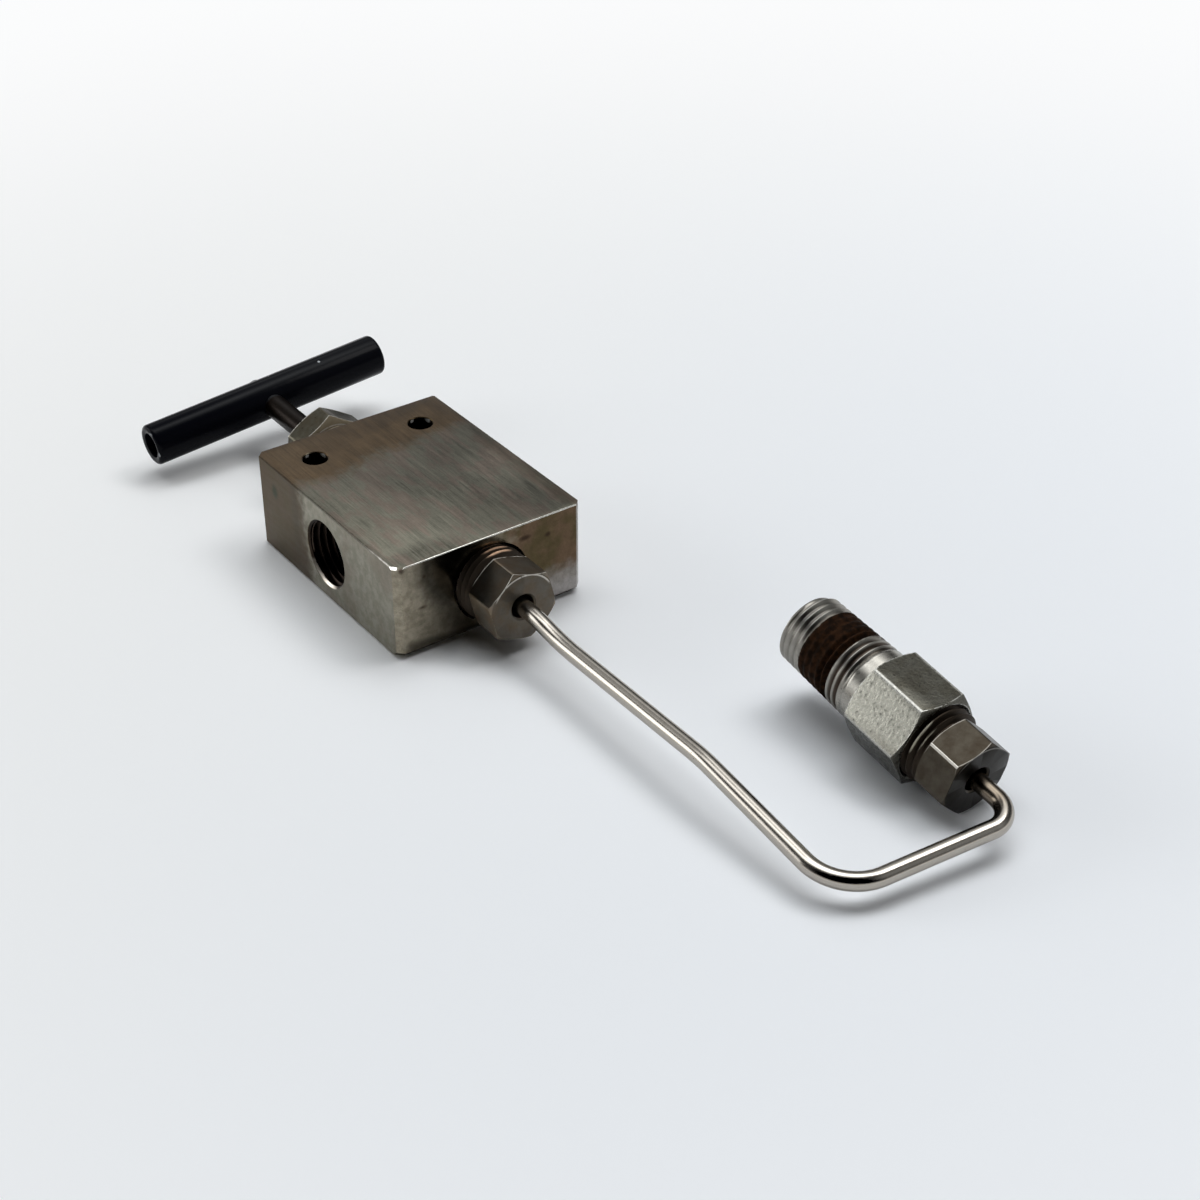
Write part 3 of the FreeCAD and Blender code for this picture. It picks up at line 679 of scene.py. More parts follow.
    def edges(self, colour):
        """Bright wear on the front edge and the nick, painted shade along the left edge, and a scratch;
        with the wear.
        """
        from_top = TOP - self.z
        ragged = spread(self.mottle, 0.3) + spread(self.grain, 0.3)
        front_edge = (from_top + (self.y - FRONT) + ragged * 0.35).fall(0.12, 0.26)
        front_edge = front_edge * (self.x + spread(self.mottle, 20)).rise(-22, -12, 0.35, 1)
        rightward = (self.x + HALF_WIDTH) - (self.y - FRONT) + ragged
        nick = self.dot(self.facing(), NICK_FACING).rise(0.985, 0.995)
        nick = nick * rightward.fall(-0.1, 0.2)
        chipped = self.mark((-HALF_WIDTH + CORNER_BREAK, FRONT, TOP - 0.4), 0.5, 0.3, (1, 1, 1.3))
        colour = colour.under(chipped * 0.8, (0.04, 0.026, 0.02))
        # Painted shade along the left top edge, except near the front, where the edge is worn bright
        # instead.
        left_edge_shade_and_wear = (from_top + (self.x + HALF_WIDTH) + ragged).fall(0.1, 0.4)
        front_end = (self.y + spread(self.mottle, 6)).rise(FRONT + 9, FRONT + 4)
        colour = colour.times(1 - left_edge_shade_and_wear * (1 - front_end) * 0.6)
        worn = self.greater(front_edge, self.greater(nick, left_edge_shade_and_wear * front_end * 0.4))
        colour = colour.under(worn, WORN_STEEL)
        scratch = abs(from_top - 0.75 + (self.y + 6) * 0.03).fall(0.05, 0.2) * self.on_left
        scratch = scratch * abs(self.y + 5).fall(3, 5)
        return colour.under(scratch * 0.6, (0.05, 0.04, 0.03)), worn

    def bores(self, colour):
        """Bores darkened for oxide and painted shade, a painted highlight on the side port's rim, painted
        glints in the mounting holes; with those glints.
        """
        side_mouth = (-HALF_WIDTH, SIDE_PORT_STATION, AXIS)
        # Painted highlight: the low side of the side port's rim is pale, the rest of it dark.
        painted_highlight_side = self.dot(self.vector("SUBTRACT", self.here, side_mouth), (0, 0.25, -0.97))
        rim = self.blend(painted_highlight_side.rise(4.6, 6.0), (0.03, 0.022, 0.016), (0.80, 0.72, 0.62))
        colour = colour.under(self.in_bore(side_mouth, (1, 0, 0), SIDE_MOUTH, 0.02), rim)
        # The bores darkened in their depth, partly for oxide and partly as painted shade.
        dark = self.greater(self.in_bore(side_mouth, (1, 0, 0), PORT_MOUTH, 0.5),
                            self.in_bore((0, FRONT, AXIS), (0, 1, 0), PORT_MOUTH, 0.1))
        dark = self.greater(dark, self.in_bore((0, BACK, AXIS), (0, -1, 0), GLAND_MOUTH, 0.1))
        painted_glint = 0
        for across in (-MOUNT_SPACING / 2, MOUNT_SPACING / 2):
            dark = self.greater(dark, self.in_bore((across, 0, TOP), (0, 0, -1), MOUNT_RADIUS, MOUNT_LIP))
            # Painted glints on the holes' walls, pale and not metallic.
            painted_glint = painted_glint + self.mark((across + 2.2, 0.9, TOP - 0.5), 0.6, 0.3, (1, 1, 0.8))
            painted_glint = painted_glint + self.mark((across - 0.4, 2.3, TOP - 0.5), 0.45, 0.2, (1, 1, 0.8))
        painted_glint = painted_glint * dark
        return colour.under(dark, BORE_BROWN).under(painted_glint, PAINTED_GLINT), painted_glint

    def finished(self):
        colour, worn = self.edges(self.all_faces())
        colour, painted_glint = self.bores(colour)
        roughness = 0.36 + spread(self.streaks, 0.2) - worn * 0.1 - self.on_front * 0.17
        roughness = roughness + spread(self.mottle, 0.12)
        height = self.lines * self.on_top + self.mottle * 0.25 + self.grain * 0.2
        return self.done(colour, roughness, 1 - painted_glint, self.bump(height, 0.02, 0.6))


def machined_steel(name, foot, direction, hexagon_size, crest, colour, tint, lit, painted_glint_colour,
                   flats=(), worn_and_highlighted_ridge=None, satin=0.3, painted_end_shade=1.0, oxidised=0.0, arc_wear_and_highlight=0.9):
    """Turned and milled stainless, tinted in patches, with painted light and a thread darkened nearly
    black.

    The foot is where the hexagon meets its thread, direction is the thread's, and crest its radius.
    lit is the side of the thread with painted glints. flats gives factors of painted light for the flats
    that face some way, and oxidised is how much of the hexagon's face on the thread's side is oxidised.
    """
    finish = Finish(name)
    across_flats, length, face_radius = hexagon_size
    patches = finish.cloud(2.6, 4)
    mottle = finish.cloud(0.8, 3)
    grain = finish.cloud(0.25, 2)
    along, out = finish.from_axis(foot, direction)
    base = finish.blend(patches.rise(0.3, 0.75), colour, tint)
    base = base.times(1 + spread(grain, 0.3) + spread(mottle, 0.4))
    # Painted shade on the hexagon's end.
    base = base.times((along + length).rise(0.05, 0.15, painted_end_shade, 1))
    # Painted light: flats that face some ways made brighter or darker.
    for outward, factor in flats:
        base = base.times(1 + finish.on_flat(outward) * (factor - 1))
    on_thread = along.rise(0.02, 0.2)
    front = finish.dot(finish.facing(), direction).rise(0.4, 0.6) * (1 - on_thread) * oxidised
    base = base.under(front, (0.36, 0.30, 0.21))

    from_foot = finish.vector("SUBTRACT", finish.here, foot)
    # Wear on the chamfer arcs and a ridge, with a painted highlight: the arcs only above the axis, and less
    # metallic.
    arc = finish.chamfer_arc(along + length, out, length, face_radius, 0.42) * (1 - on_thread)
    above_axis = finish.axes(from_foot)[2]
    worn = arc * mottle.rise(0.3, 0.45) * above_axis.rise(2.5, 4.0) * arc_wear_and_highlight
    if worn_and_highlighted_ridge is not None:
        corner = across_flats / math.sqrt(3) - CORNER_WEAR
        ridge = finish.dot(from_foot, worn_and_highlighted_ridge).rise(corner - 0.1, corner - 0.04)
        worn = finish.greater(worn, ridge)
    base = base.under(worn, (0.72, 0.68, 0.61))
    base = base.under(on_thread * 0.93, (0.04, 0.03, 0.022))
    # Painted glints on the thread's crests, on the lit side only.
    painted_glint = (out + spread(mottle, 0.2)).rise(crest - 0.3, crest - 0.08)
    painted_glint = painted_glint * finish.dot(from_foot, lit).rise(crest * 0.90, crest * 0.98)
    base = base.under(on_thread * painted_glint, painted_glint_colour)
    roughness = satin + spread(mottle, 0.15) + on_thread * 0.2
    return finish.done(base, roughness, 1 - finish.greater(front, worn * 0.7),
                       finish.bump(mottle + grain * 0.3, 0.02, 0.5), Specular_IOR_Level=0.2)


def adapter_steel():
    """Pitted hexagon with one flat painted bright as a reflection, and silver threads with a band of old
    sealant.
    """
    dark, darker, bright = (0.10, 0.096, 0.08), (0.075, 0.07, 0.055), (0.30, 0.29, 0.25)
    shank_steel, worn_steel = (0.30, 0.285, 0.255), (0.6, 0.59, 0.55)
    root_grey, grime, inside_brown = (0.07, 0.06, 0.05), (0.05, 0.035, 0.025), (0.04, 0.03, 0.025)
    dark_sealant, red_sealant = (0.008, 0.004, 0.002), (0.028, 0.012, 0.005)

    finish = Finish("adapter_steel")
    direction = at(0, 0, 0, tilt=ADAPTER_TILT).to_3x3() @ Vector((0, 1, 0))
    along, out = finish.from_axis(ADAPTER_FACE, direction)
    mottle = finish.cloud(0.7, 4)
    grain = finish.cloud(0.3, 3)
    patches = finish.cloud(3, 3)
    smear = finish.cloud(1.2, 3)
    thread_start = ADAPTER_HEX + ADAPTER_NECK
    on_thread = along.rise(thread_start, thread_start + 0.3)
    on_shank = along.rise(ADAPTER_HEX, ADAPTER_HEX + 0.2)

    base = finish.blend(patches.rise(0.35, 0.65), dark, darker)
    # Painted reflection: the flat facing up and left is painted bright.
    base = base.under(finish.on_flat((-0.843, 0, 0.537)), bright)
    base = base.under(along.rise(ADAPTER_HEX, ADAPTER_HEX + 0.5), shank_steel)
    pits = mottle.rise(0.55, 0.75)
    base = base.times(1.05 - pits * (1 - on_shank) * 0.85 + spread(grain, 0.3))

    corner = ADAPTER_FLATS / math.sqrt(3)
    ridge = (out + spread(mottle, 0.1)).rise(corner - 0.24, corner - 0.12)
    ridge = ridge * along.rise(0.6, 0.9)
    ridge = ridge * along.fall(ADAPTER_HEX - 0.9, ADAPTER_HEX - 0.6)
    arc = finish.chamfer_arc(along, out, ADAPTER_HEX, ADAPTER_HEAD_FACE, 0.45) * (1 - on_shank)
    worn = finish.greater(ridge * 0.5, arc * mottle.rise(0.4, 0.55) * 0.6)
    base = base.under(worn, worn_steel)

    taper = (ADAPTER_NECK_RADIUS - ADAPTER_END_RADIUS) / ADAPTER_THREAD
    level = out + (along - thread_start) * taper
    root = level.fall(ADAPTER_NECK_RADIUS - 0.7, ADAPTER_NECK_RADIUS - 0.1)
    base = base.under(root * on_thread * 0.6, root_grey)
    grimy = level.fall(ADAPTER_NECK_RADIUS - 0.3, ADAPTER_NECK_RADIUS - 0.08)
    grimy = grimy * on_thread * along.rise(thread_start + 3.6, thread_start + 2.6)
    base = base.under(grimy * 0.9, grime)

    from_tip = thread_start + ADAPTER_THREAD - (along + spread(smear, 1.2))
    band = from_tip.rise(SEALANT_START - 0.3, SEALANT_START)
    band = band * from_tip.fall(12.2, 12.9)
    sealant = finish.blend(smear.rise(0.35, 0.65), dark_sealant, red_sealant)
    base = base.under(band, sealant)
    inside = out.fall(ADAPTER_BORE + 0.1, ADAPTER_BORE + 0.3)
    base = base.under(inside, inside_brown)
    roughness = 0.28 + spread(mottle, 0.3) + on_thread * 0.06 + band * 0.35
    height = (mottle + grain * 0.4) * (1 - on_shank * 0.85)
    return finish.done(base, roughness, 1 - band, finish.bump(height, 0.06, 0.5), Specular_IOR_Level=0.03)


def tube_steel():
    """Drawn tube: satin, with faint marks, a few dark specks and painted shade at the adapter's nut."""
    finish = Finish("tube_steel")
    mottle = finish.cloud(1.1, 3)
    specks = finish.cloud(0.45, 1).rise(0.76, 0.82)
    colour = finish.blend(mottle, (0.40, 0.36, 0.31), (0.47, 0.435, 0.39))
    nut_end = ADAPTER_FACE.y - ADAPTER_NUT_STANDOFF - NUT_HEX
    # Painted shade on the tube near the adapter's nut.
    painted_shade_at_nut = finish.mark((ADAPTER_FACE.x, nut_end, ADAPTER_FACE.z), 7.5, 2.5) * 0.85
    colour = colour.under(painted_shade_at_nut, (0.10, 0.075, 0.05))
    colour = colour.under(specks, (0.08, 0.06, 0.04))
    return finish.done(colour, 0.2 + spread(mottle, 0.12), 1.0, finish.bump(mottle, 0.006, 0.4))


def stem_steel():
    """Heat-browned stem with fine turning lines, painted with the handle at its end."""
    finish = Finish("stem_steel")
    lines = finish.cloud(0.15, 2, (20, 1, 20))
    mottle = finish.cloud(1.4, 3)
    paint_edge = HANDLE_STATION - HANDLE_RADIUS
    along = finish.axes(finish.here)[1] + spread(mottle, 0.8)
    painted = along.rise(paint_edge - 0.2, paint_edge + 0.3)
    brown = finish.blend(mottle, (0.008, 0.0045, 0.0025), (0.015, 0.0085, 0.005))
    colour = brown.times(1 + spread(lines, 0.5)).under(painted, (0.003, 0.0035, 0.005))
    roughness = 0.38 + spread(mottle, 0.2)
    return finish.done(colour, roughness, 0.9 - painted * 0.9, finish.bump(lines, 0.02, 0.5))


def black_enamel():
    """Black paint, worn through to the steel round the rims and chipped in one place."""
    finish = Finish("black_enamel")
    along, out = finish.from_axis((0, HANDLE_STATION, AXIS),
                                  (math.cos(HANDLE_TILT * DEG), 0, math.sin(HANDLE_TILT * DEG)))
    mottle = finish.cloud(0.8, 4)
    ripple = finish.cloud(2.2, 2)
    end = HANDLE_LENGTH / 2
    rubbed = finish.cloud(2.4, 2).rise(0.5, 0.6)
    left_rim = (along + spread(mottle, 1.2)).fall(-end, 0.3 - end) * rubbed
    right_rim = (along + spread(mottle, 1.4)).rise(end - 0.25, end - 0.1)
    chip = finish.mark((12.2, HANDLE_STATION - 1.0, AXIS + 5.1), 0.28, 0.1)
    bare_and_painted_sheen = finish.greater(finish.greater(left_rim, right_rim) * out.rise(3.3, 3.6), chip)
    colour = finish.blend(bare_and_painted_sheen, (0.0026, 0.003, 0.0052), (0.25, 0.26, 0.27))
    return finish.done(colour, 0.2 + bare_and_painted_sheen * 0.2, bare_and_painted_sheen, finish.bump(ripple, 0.05, 0.2),
                       Specular_IOR_Level=0.05)


def needle_steel():
    """Hardened and polished bar."""
    finish = Finish("needle_steel")
    lines = finish.cloud(0.1, 2, (20, 1, 20))
    colour = finish.blend(lines, (0.52, 0.52, 0.53), (0.64, 0.64, 0.65))
    return finish.done(colour, 0.2 + lines * 0.1)


def packing_plastic():
    """Waxy white packing."""
    finish = Finish("packing_plastic")
    mottle = finish.cloud(1.0, 3)
    colour = finish.blend(mottle, (0.78, 0.77, 0.72), (0.86, 0.85, 0.82))
    return finish.done(colour, 0.5 + spread(mottle, 0.2), 0.0)


def mounting_hole(across):
    """Cutter for one mounting hole, broken at the top."""
    height = TOP - BLOCK_LOW.z
    shape = spun(((0, -OUTSIDE), (MOUNT_RADIUS, -OUTSIDE), (MOUNT_RADIUS, height - MOUNT_LIP),
                  (MOUNT_RADIUS + MOUNT_LIP + OUTSIDE, height + OUTSIDE), (0, height + OUTSIDE)))
    return moved(shape, Matrix.Translation((across, 0, BLOCK_LOW.z)) @ Matrix.Rotation(90 * DEG, 4, "X"))


def side_port():
    """Cutters for the open side port: mouth, threaded bore, cone and passage."""
    lip = SIDE_MOUTH - SIDE_CREST
    mouth = spun(((0, -OUTSIDE), (SIDE_MOUTH + OUTSIDE, -OUTSIDE), (SIDE_CREST - OVERLAP, lip + OVERLAP),
                  (0, lip + OVERLAP)))
    core, plain, full = 0.5, 0.4, 1.2
    outline = ((SIDE_CREST, -core), (SIDE_CREST, plain), (PORT_RADIUS, full),
               (PORT_RADIUS, SIDE_PORT_DEPTH))
    depths = ((0, -core), (0, plain), (THREAD_DEPTH, full), (THREAD_DEPTH, SIDE_PORT_DEPTH))
    thread = threaded(outline, TUBE_THREAD_PITCH, core, 2 * core, depths=depths)
    cone_end = SIDE_PORT_DEPTH + (PORT_CONE - SIDE_PASSAGE) / CONE_SLOPE
    cone = spun(((0, SIDE_PORT_DEPTH - OVERLAP), (PORT_CONE, SIDE_PORT_DEPTH - OVERLAP),
                 (PORT_CONE, SIDE_PORT_DEPTH), (SIDE_PASSAGE, cone_end), (SIDE_PASSAGE, HALF_WIDTH),
                 (0, HALF_WIDTH)))
    inwards = at(-HALF_WIDTH, SIDE_PORT_STATION, AXIS) @ Matrix.Rotation(-90 * DEG, 4, "Z")
    return [moved(cutter, inwards) for cutter in (mouth, thread, cone)]


def front_port():
    """Cutter for the port that takes the gland nut, down to the seat's passage."""
    depth = NUT_SHANK - NUT_STANDOFF + SLEEVE
    seat = BACK - FRONT - SEAT_DEPTH + OVERLAP
    shape = spun(((0, -OUTSIDE), (PORT_MOUTH + OUTSIDE, -OUTSIDE), (PORT_RADIUS, PORT_MOUTH - PORT_RADIUS),
                  (PORT_RADIUS, depth), (PORT_CONE, depth),
                  (SEAT_RADIUS, depth + (PORT_CONE - SEAT_RADIUS) / CONE_SLOPE),
                  (SEAT_RADIUS, seat), (0, seat)))
    return moved(shape, at(0, FRONT, AXIS))


def stem_cavity():
    """Cutter for the gland's thread, the packing bore and the seat's cone."""
    shape = spun(((0, -OUTSIDE), (GLAND_MOUTH + OUTSIDE, -OUTSIDE), (GLAND_HOLE, GLAND_MOUTH - GLAND_HOLE),
                  (GLAND_HOLE, GLAND_DEPTH), (PACKING_RADIUS, GLAND_DEPTH), (PACKING_RADIUS, PACKING_DEPTH),
                  (STEM_HOLE, PACKING_DEPTH),
                  (STEM_HOLE, SEAT_DEPTH - (STEM_HOLE - SEAT_RADIUS) / CONE_SLOPE),
                  (SEAT_RADIUS, SEAT_DEPTH), (0, SEAT_DEPTH)))
    return moved(shape, at(0, BACK, AXIS) @ Matrix.Rotation(180 * DEG, 4, "Z"))


def block():
    """The ground block: flat breaks on its edges, a nicked corner, its ports and its holes."""
    shape = bmesh.new()
    middle = Matrix.Translation((BLOCK_LOW + BLOCK_HIGH) / 2)
    bmesh.ops.create_cube(shape, size=1, matrix=middle @ Matrix.Diagonal((*(BLOCK_HIGH - BLOCK_LOW), 1)))

    def break_edges(offset, segments, chosen):
        edges = [edge for edge in shape.edges if all(chosen(vert.co) for vert in edge.verts)]
        bevel_edges(shape, edges, offset, segments)

    def upright(x, y):
        return lambda place: abs(place.x - x) < WELD and abs(place.y - y) < WELD

    for x, y, offset in ((-HALF_WIDTH, FRONT, CORNER_BREAK), (HALF_WIDTH, FRONT, CORNER_BREAK),
                         (-HALF_WIDTH, BACK, CORNER_BREAK), (HALF_WIDTH, BACK, LIGHT_BREAK)):
        break_edges(offset, 1, upright(x, y))
    foot = BLOCK_LOW.z + WELD
    break_edges(FOOT_BREAK, 1, lambda place: place.z < foot and place.y < FRONT + CORNER_BREAK + WELD)
    break_edges(LIGHT_BREAK, 1, lambda place: place.z < foot and (
        abs(place.x) > HALF_WIDTH - WELD or place.y > BACK - CORNER_BREAK - WELD))
    break_edges(TOP_BREAK, 3, lambda place: place.z > TOP - WELD)
    corner = Vector((BLOCK_LOW.x + CORNER_BREAK / 2, FRONT + CORNER_BREAK / 2, TOP))
    cut_off(shape, corner - NICK_FACING * NICK_DEPTH, NICK_FACING)
    return carved(shape, [mounting_hole(-MOUNT_SPACING / 2), mounting_hole(MOUNT_SPACING / 2), *side_port(),
                          front_port(), stem_cavity()])


def gland_nut():
    """Hexagon at the foot, threaded shank towards the port."""
    head = hexagon(NUT_FLATS, NUT_HEX, NUT_FACE, NUT_BORE, mouth=NUT_BORE_LIP)
    tip = NUT_HEX + NUT_SHANK
    outline = ((NUT_NECK_FOOT, NUT_HEX - JOIN), (NUT_NECK_TOP, NUT_HEX + NUT_NECK_LENGTH),
               (NUT_RADIUS, NUT_HEX + NUT_THREAD_START), (NUT_RADIUS, tip - NUT_TIP_BREAK),
               (NUT_RADIUS - NUT_TIP_BREAK, tip))
    return joined(head, threaded(outline, TUBE_THREAD_PITCH, NUT_BORE, run_out=NUT_RUN_OUT))


def packing_gland(length):
    """Threaded foot in the block, hexagon head behind it."""
    foot = length - GLAND_HEX
    head = hexagon(GLAND_FLATS, GLAND_HEX, GLAND_FACE, GLAND_BORE, start=foot)
    outline = ((GLAND_RADIUS, 0), (GLAND_RADIUS, foot + JOIN))
    return joined(head, threaded(outline, GLAND_THREAD_PITCH, GLAND_BORE))


def pipe_adapter():
    """Hexagon with a gland port in its foot, neck, and taper thread with a bored tip."""
    head = hexagon(ADAPTER_FLATS, ADAPTER_HEX, ADAPTER_HEAD_FACE, PORT_RADIUS, mouth=ADAPTER_PORT_LIP)
    neck_end = ADAPTER_HEX + ADAPTER_NECK
    tip = neck_end + ADAPTER_THREAD
    outline = ((ADAPTER_NECK_RADIUS, ADAPTER_HEX - JOIN), (ADAPTER_NECK_RADIUS, neck_end),
               (ADAPTER_BREAK_RADIUS, tip - ADAPTER_TIP_BREAK),
               (ADAPTER_END_RADIUS - ADAPTER_TIP_BREAK, tip))
    depths = ((0, ADAPTER_HEX - JOIN), (0, neck_end - ADAPTER_NECK_LEAD),
              (CLEAN_GROOVE, neck_end + ADAPTER_NECK_LEAD), (CLEAN_GROOVE, tip - SEALANT_END),
              (FILLED_GROOVE, tip - SEALANT_FULL), (FILLED_GROOVE, tip - SEALANT_START),
              (RUBBED_GROOVE, tip - SEALANT_START + SEALANT_EDGE), (RUBBED_GROOVE, tip))
    shank = threaded(outline, TUBE_THREAD_PITCH, ADAPTER_BORE, ADAPTER_BORE_DEPTH, depths=depths)
    return joined(head, shank)


def stem():
    """Threaded foot inside the gland, plain shank, and a rounded end past the handle."""
    low, high = millimetres("upper_stem")
    length = high.y - low.y
    outline = ((STEM_THREAD_RADIUS, 0), (STEM_THREAD_RADIUS, STEM_THREAD))
    thread = threaded(outline, STEM_THREAD_PITCH, STEM_RADIUS)
    rounded = [(STEM_RADIUS - STEM_ROUNDING + radius, length - STEM_ROUNDING + height)
               for radius, height in quarter_round(STEM_ROUNDING, 3)]
    shank = spun(((STEM_RADIUS, STEM_SHANK), *reversed(rounded), (0, length), (0, STEM_SHANK)))
    return joined(thread, shank)


def handle_bar():
    """Thick tube with rounded ends, cross-drilled for the stem."""
    near = [(HANDLE_RADIUS - HANDLE_ROUNDING + radius, HANDLE_ROUNDING - height)
            for radius, height in quarter_round(HANDLE_ROUNDING, 4)]
    far = [(radius, HANDLE_LENGTH - height) for radius, height in reversed(near)]
    shape = spun((*near, *far, (HANDLE_BORE, HANDLE_LENGTH - HANDLE_BORE_LIP),
                  (HANDLE_BORE, HANDLE_BORE_LIP)))
    moved(shape, Matrix.Rotation(-90 * DEG, 4, "Z") @ Matrix.Translation((0, -HANDLE_LENGTH / 2, 0)))
    reach, clearance = 10, 0.02
    wall = STEM_RADIUS + clearance
    return carved(shape, [spun(((0, -reach), (wall, -reach), (wall, reach), (0, reach)))])


def link_tube():
    """The formed tube: straight runs drawn out and bends spun, both walls together."""
    tilt = Matrix.Rotation(ADAPTER_TILT * DEG, 3, "X")
    along = tilt @ Vector((0, 1, 0))
    nut_end = ADAPTER_FACE - along * (ADAPTER_NUT_STANDOFF + NUT_HEX)
    points = [
        Vector((0, FRONT + NUT_SHANK - NUT_STANDOFF + SLEEVE + TUBE_SEAT, AXIS)),
        Vector((0, FRONT - NUT_STANDOFF - NUT_HEX - TUBE_LEAD_OUT, AXIS)),
        *[Vector((across, FRONT - back, up)) for across, back, up in TUBE_PLACES],
        nut_end - along * TUBE_LEAD_IN,
        ADAPTER_FACE + along * (NUT_SHANK - ADAPTER_NUT_STANDOFF + SLEEVE + TUBE_SEAT),
    ]
    shape = bmesh.new()
    start = points[0]
    heading = (points[1] - start).normalized()
    square = Vector((0, 0, 1)).rotation_difference(heading).to_matrix().to_4x4()
    rings = []
    for radius in (TUBE_RADIUS, TUBE_BORE):
        ring = bmesh.ops.create_circle(shape, segments=TUBE_SIDES, radius=radius,
                                       matrix=Matrix.Translation(start) @ square)["verts"]
        rings += [edge for edge in shape.edges if edge.verts[0] in ring]
    section = list({vert for edge in rings for vert in edge.verts}) + rings

    def drawn_out(section, shift):
        """The far end of a straight run from this section."""
        grown = bmesh.ops.extrude_edge_only(shape, edges=edges_among(section))["geom"]
        verts = [item for item in grown if isinstance(item, bmesh.types.BMVert)]
        bmesh.ops.translate(shape, verts=verts, vec=shift)
        return verts + [edge for edge in edges_among(grown) if edge.is_boundary]

    for before, corner, after, radius in zip(points, points[1:], points[2:], TUBE_BENDS):
        inward = (corner - before).normalized()
        outward = (after - corner).normalized()
        turn = inward.angle(outward)
        setback = radius * math.tan(turn / 2)
        bend_start = corner - inward * setback
        section = drawn_out(section, bend_start - start)
        axis = inward.cross(outward).normalized()
        centre = bend_start + axis.cross(inward) * radius
        steps = max(3, math.ceil(turn / BEND_STEP))
        bend = bmesh.ops.spin(shape, geom=section, cent=centre, axis=axis, angle=turn, steps=steps)
        section = bend["geom_last"]
        start = corner + outward * setback
    section = drawn_out(section, points[-1] - start)
    for rim in (rings, edges_among(section)):
        bmesh.ops.bridge_loops(shape, edges=rim)
    bmesh.ops.recalc_face_normals(shape, faces=shape.faces)
    return shape


def build_front_nut():
    place = at(0, FRONT - NUT_STANDOFF - NUT_HEX, AXIS, NUT_TURN)
    # Painted light: its flats facing up left, left and up right made darker, brighter and a little darker.
    upper_left, left, upper_right = (-0.688, 0, 0.726), (-0.972, 0, -0.233), (0.284, 0, 0.959)
    finish = machined_steel("front_nut_steel", (0, FRONT - NUT_STANDOFF, AXIS), (0, 1, 0),
                            NUT_HEAD, NUT_RADIUS, (0.20, 0.18, 0.15), (0.19, 0.145, 0.10),
                            lit=(0.09, 0, 0.996), painted_glint_colour=(0.80, 0.55, 0.38),
                            flats=((upper_left, 0.28), (left, 2.0), (upper_right, 0.8)),
                            satin=0.42, painted_end_shade=0.6)
    piece("front_nut", gland_nut(), place, "valve", "inlet_gland_nut", finish)


def build_gland():
    low, high = millimetres("packing_gland")
    # Painted light: the flat facing up right made darker.
    finish = machined_steel("gland_steel", (0, high.y - GLAND_HEX, AXIS), (0, -1, 0),
                            (GLAND_FLATS, GLAND_HEX, GLAND_FACE), GLAND_RADIUS, (0.13, 0.12, 0.09),
                            (0.105, 0.085, 0.055), lit=(0, 0, 1), painted_glint_colour=(0.40, 0.34, 0.26),
                            flats=(((0.5, 0, 0.866), 0.65),), oxidised=1.0)
    place = at(0, low.y, AXIS, GLAND_TURN)
    piece("gland", packing_gland(high.y - low.y), place, "valve", "packing_gland", finish)


def build_adapter():
    place = at(*ADAPTER_FACE, ADAPTER_TURN, ADAPTER_TILT)
    piece("adapter", pipe_adapter(), place, "valve", "adapter_body", adapter_steel())
    nut_place = at(*ADAPTER_FACE, ADAPTER_NUT_TURN, ADAPTER_TILT)
    nut_place = nut_place @ Matrix.Translation((0, -ADAPTER_NUT_STANDOFF - NUT_HEX, 0))
    turned = nut_place.to_3x3()
    foot, direction = nut_place @ Vector((0, NUT_HEX, 0)), turned @ Vector((0, 1, 0))
    # Painted light: the flat facing up made darker, and a painted highlight on one ridge.
    finish = machined_steel("adapter_nut_steel", foot, direction,
                            NUT_HEAD, NUT_RADIUS, (0.07, 0.06, 0.046), (0.044, 0.034, 0.024),
                            lit=(-0.75, 0, 0.66), painted_glint_colour=(0.48, 0.45, 0.36),
                            flats=(((-0.275, -0.14, 0.951), 0.6),),
                            worn_and_highlighted_ridge=turned @ Vector((-1, 0, 0)), satin=0.35,
                            painted_end_shade=0.25, arc_wear_and_highlight=0.2)
    piece("adapter_nut", gland_nut(), nut_place, "valve", "adapter_gland_nut", finish)


def build_valve():
    """Every outer piece in place of its node, and a finish on the pieces inside."""
    tube = tube_steel()
    browned = stem_steel()
    polished = needle_steel()
    plastic = packing_plastic()
    piece("block", block(), Matrix(), "valve", "valve_body", BlockSteel().finished(), 20)
    build_front_nut()
    build_gland()
    build_adapter()
    piece("tube", link_tube(), Matrix(), "valve", "link_tube", tube)
    stem_foot = millimetres("upper_stem")[0].y
    piece("stem", stem(), at(0, stem_foot, AXIS), "handle", "upper_stem", browned)
    piece("handle", handle_bar(), at(0, HANDLE_STATION, AXIS, -HANDLE_TILT), "handle", "handle_bar",
          black_enamel())
    for finish, nodes in (
            (browned, ("packing_follower", "packing_washer", "stem_retainer")),
            (plastic, ("packing_ring_upper", "packing_ring_middle", "packing_ring_lower")),
            (tube, ("inlet_sleeve", "adapter_sleeve")),
            (polished, ("lower_stem", "thrust_washer"))):
        for node in nodes:
            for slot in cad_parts[node].material_slots:
                slot.material = finish


BACKDROP = (0.97, 0.975, 0.98, 1)


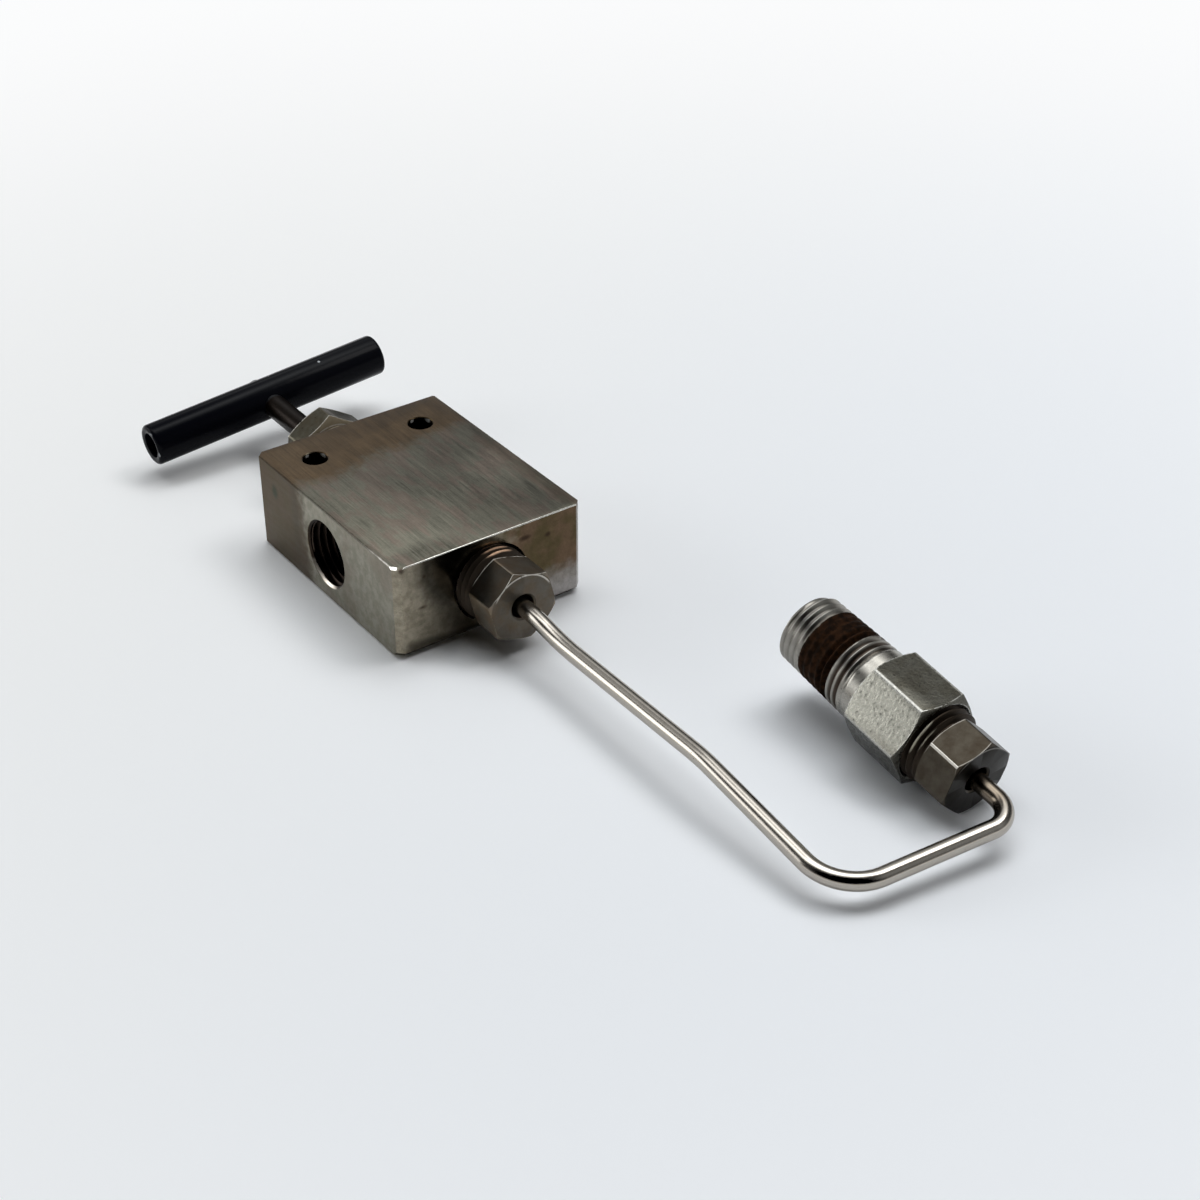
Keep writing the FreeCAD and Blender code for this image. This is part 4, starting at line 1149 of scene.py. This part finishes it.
def floor():
    """A plain pale floor under the object, white in the distance, greyer in front by a painted falloff of
    light.
    """
    shape = bmesh.new()
    bmesh.ops.create_grid(shape, x_segments=1, y_segments=1, size=60.0,
                          matrix=Matrix.Translation((0, 0, cad_box[0][2] - 0.02 * MM)))
    item = new_object("floor", shape)
    card = Finish("floor_card")
    backwards = card.dot(card.here, (0.42, 0.91, 0))
    leftwards = card.dot(card.here, (-0.81, 0.58, 0))
    # Painted light: the floor's colour falls off from the back left to the front right.
    painted_falloff = (leftwards + backwards * 0.5).rise(-160, 120)
    colour = card.blend(painted_falloff, (0.92, 0.94, 0.97), (0.99, 0.99, 0.985))
    paper = card.node("ShaderNodeBsdfDiffuse", None, {"Color": colour})
    glow = card.node("ShaderNodeEmission", None, {"Color": BACKDROP, "Strength": 1.0})
    far = card.vector("DISTANCE", card.here, (20, -60, 0), "Value").rise(60, 400)
    surface = card.node("ShaderNodeMixShader", None, {0: far * card.seen(), 1: paper, 2: glow})
    card.node("ShaderNodeOutputMaterial", None, {"Surface": surface}, output=None)
    item.data.materials.append(card.material)


def lamp():
    """A round soft lamp high on the right."""
    light = bpy.data.lights.new("softbox", "AREA")
    light.shape = "DISK"
    light.size = 0.36
    light.energy = 1.6
    target = Vector((0.01, -0.05, 0))
    direction, distance = Vector((0.486, -0.143, 0.862)), 0.9
    box = linked("softbox", light)
    box.location = target + direction * distance
    box.rotation_euler = (box.location - target).to_track_quat("Z", "Y").to_euler()


def room():
    """A dim room: a pale ceiling, darker in three places, and a window behind on the left."""
    world = bpy.data.worlds.new("room")
    world.use_nodes = True
    bpy.context.scene.world = world
    air = Nodes(world.node_tree)
    looking = air.node("ShaderNodeTexCoord", output="Generated")
    height = air.axes(looking)[2]
    ceiling = air.near(looking, (0.18, 0.46, 0.87), 0.47, 0.25)
    for direction, radius, soft, dimming in (((0.54, 0.55, 0.64), 0.35, 0.20, 0.87),
                                             ((0.07, 0.47, 0.88), 0.20, 0.12, 0.82),
                                             ((0.00, 0.69, 0.72), 0.32, 0.10, 0.9)):
        ceiling = ceiling * (1 - air.near(looking, direction, radius, soft) * dimming)
    front_right = air.near(looking, (0.45, -0.68, 0.58), 0.35, 0.20)
    front_left = air.near(looking, (-0.50, -0.72, 0.45), 0.85, 0.35)
    window = air.near(looking, (-0.66, 0.70, 0.22), 0.32, 0.08)
    horizon = height.rise(0.30, 0.05)
    level = 0.06 + ceiling * 6.0 + front_right * 0.3 + window * 3.2 + horizon * 0.25 - front_left * 0.10
    light = air.node("ShaderNodeBackground", None, {"Color": (0.96, 0.985, 1.0, 1), "Strength": level})
    backdrop = air.node("ShaderNodeBackground", None, {"Color": BACKDROP, "Strength": 1.0})
    low = height.rise(0.16, 0.06)
    surface = air.node("ShaderNodeMixShader", None, {0: low * air.seen(), 1: light, 2: backdrop})
    air.node("ShaderNodeOutputWorld", None, {"Surface": surface}, output=None)


def camera():
    """The photograph's view: from the front left, 34 degrees up."""
    azimuth = -35.709 * DEG
    elevation = 33.712 * DEG
    distance = 414.2
    target = Vector((25.3, -39.75, -5.5))
    away = Vector((math.sin(azimuth) * math.cos(elevation), -math.cos(azimuth) * math.cos(elevation),
                   math.sin(elevation)))
    lens = bpy.data.cameras.new("view")
    lens.lens = 65.94
    lens.sensor_width = 36.0
    lens.sensor_fit = "HORIZONTAL"
    item = linked("view", lens)
    item.location = (target + away * distance) * MM
    item.rotation_euler = (90 * DEG - elevation, 0, azimuth)
    bpy.context.scene.camera = item


build_valve()
floor()
lamp()
room()
camera()
bpy.context.scene.view_settings.view_transform = "Standard"
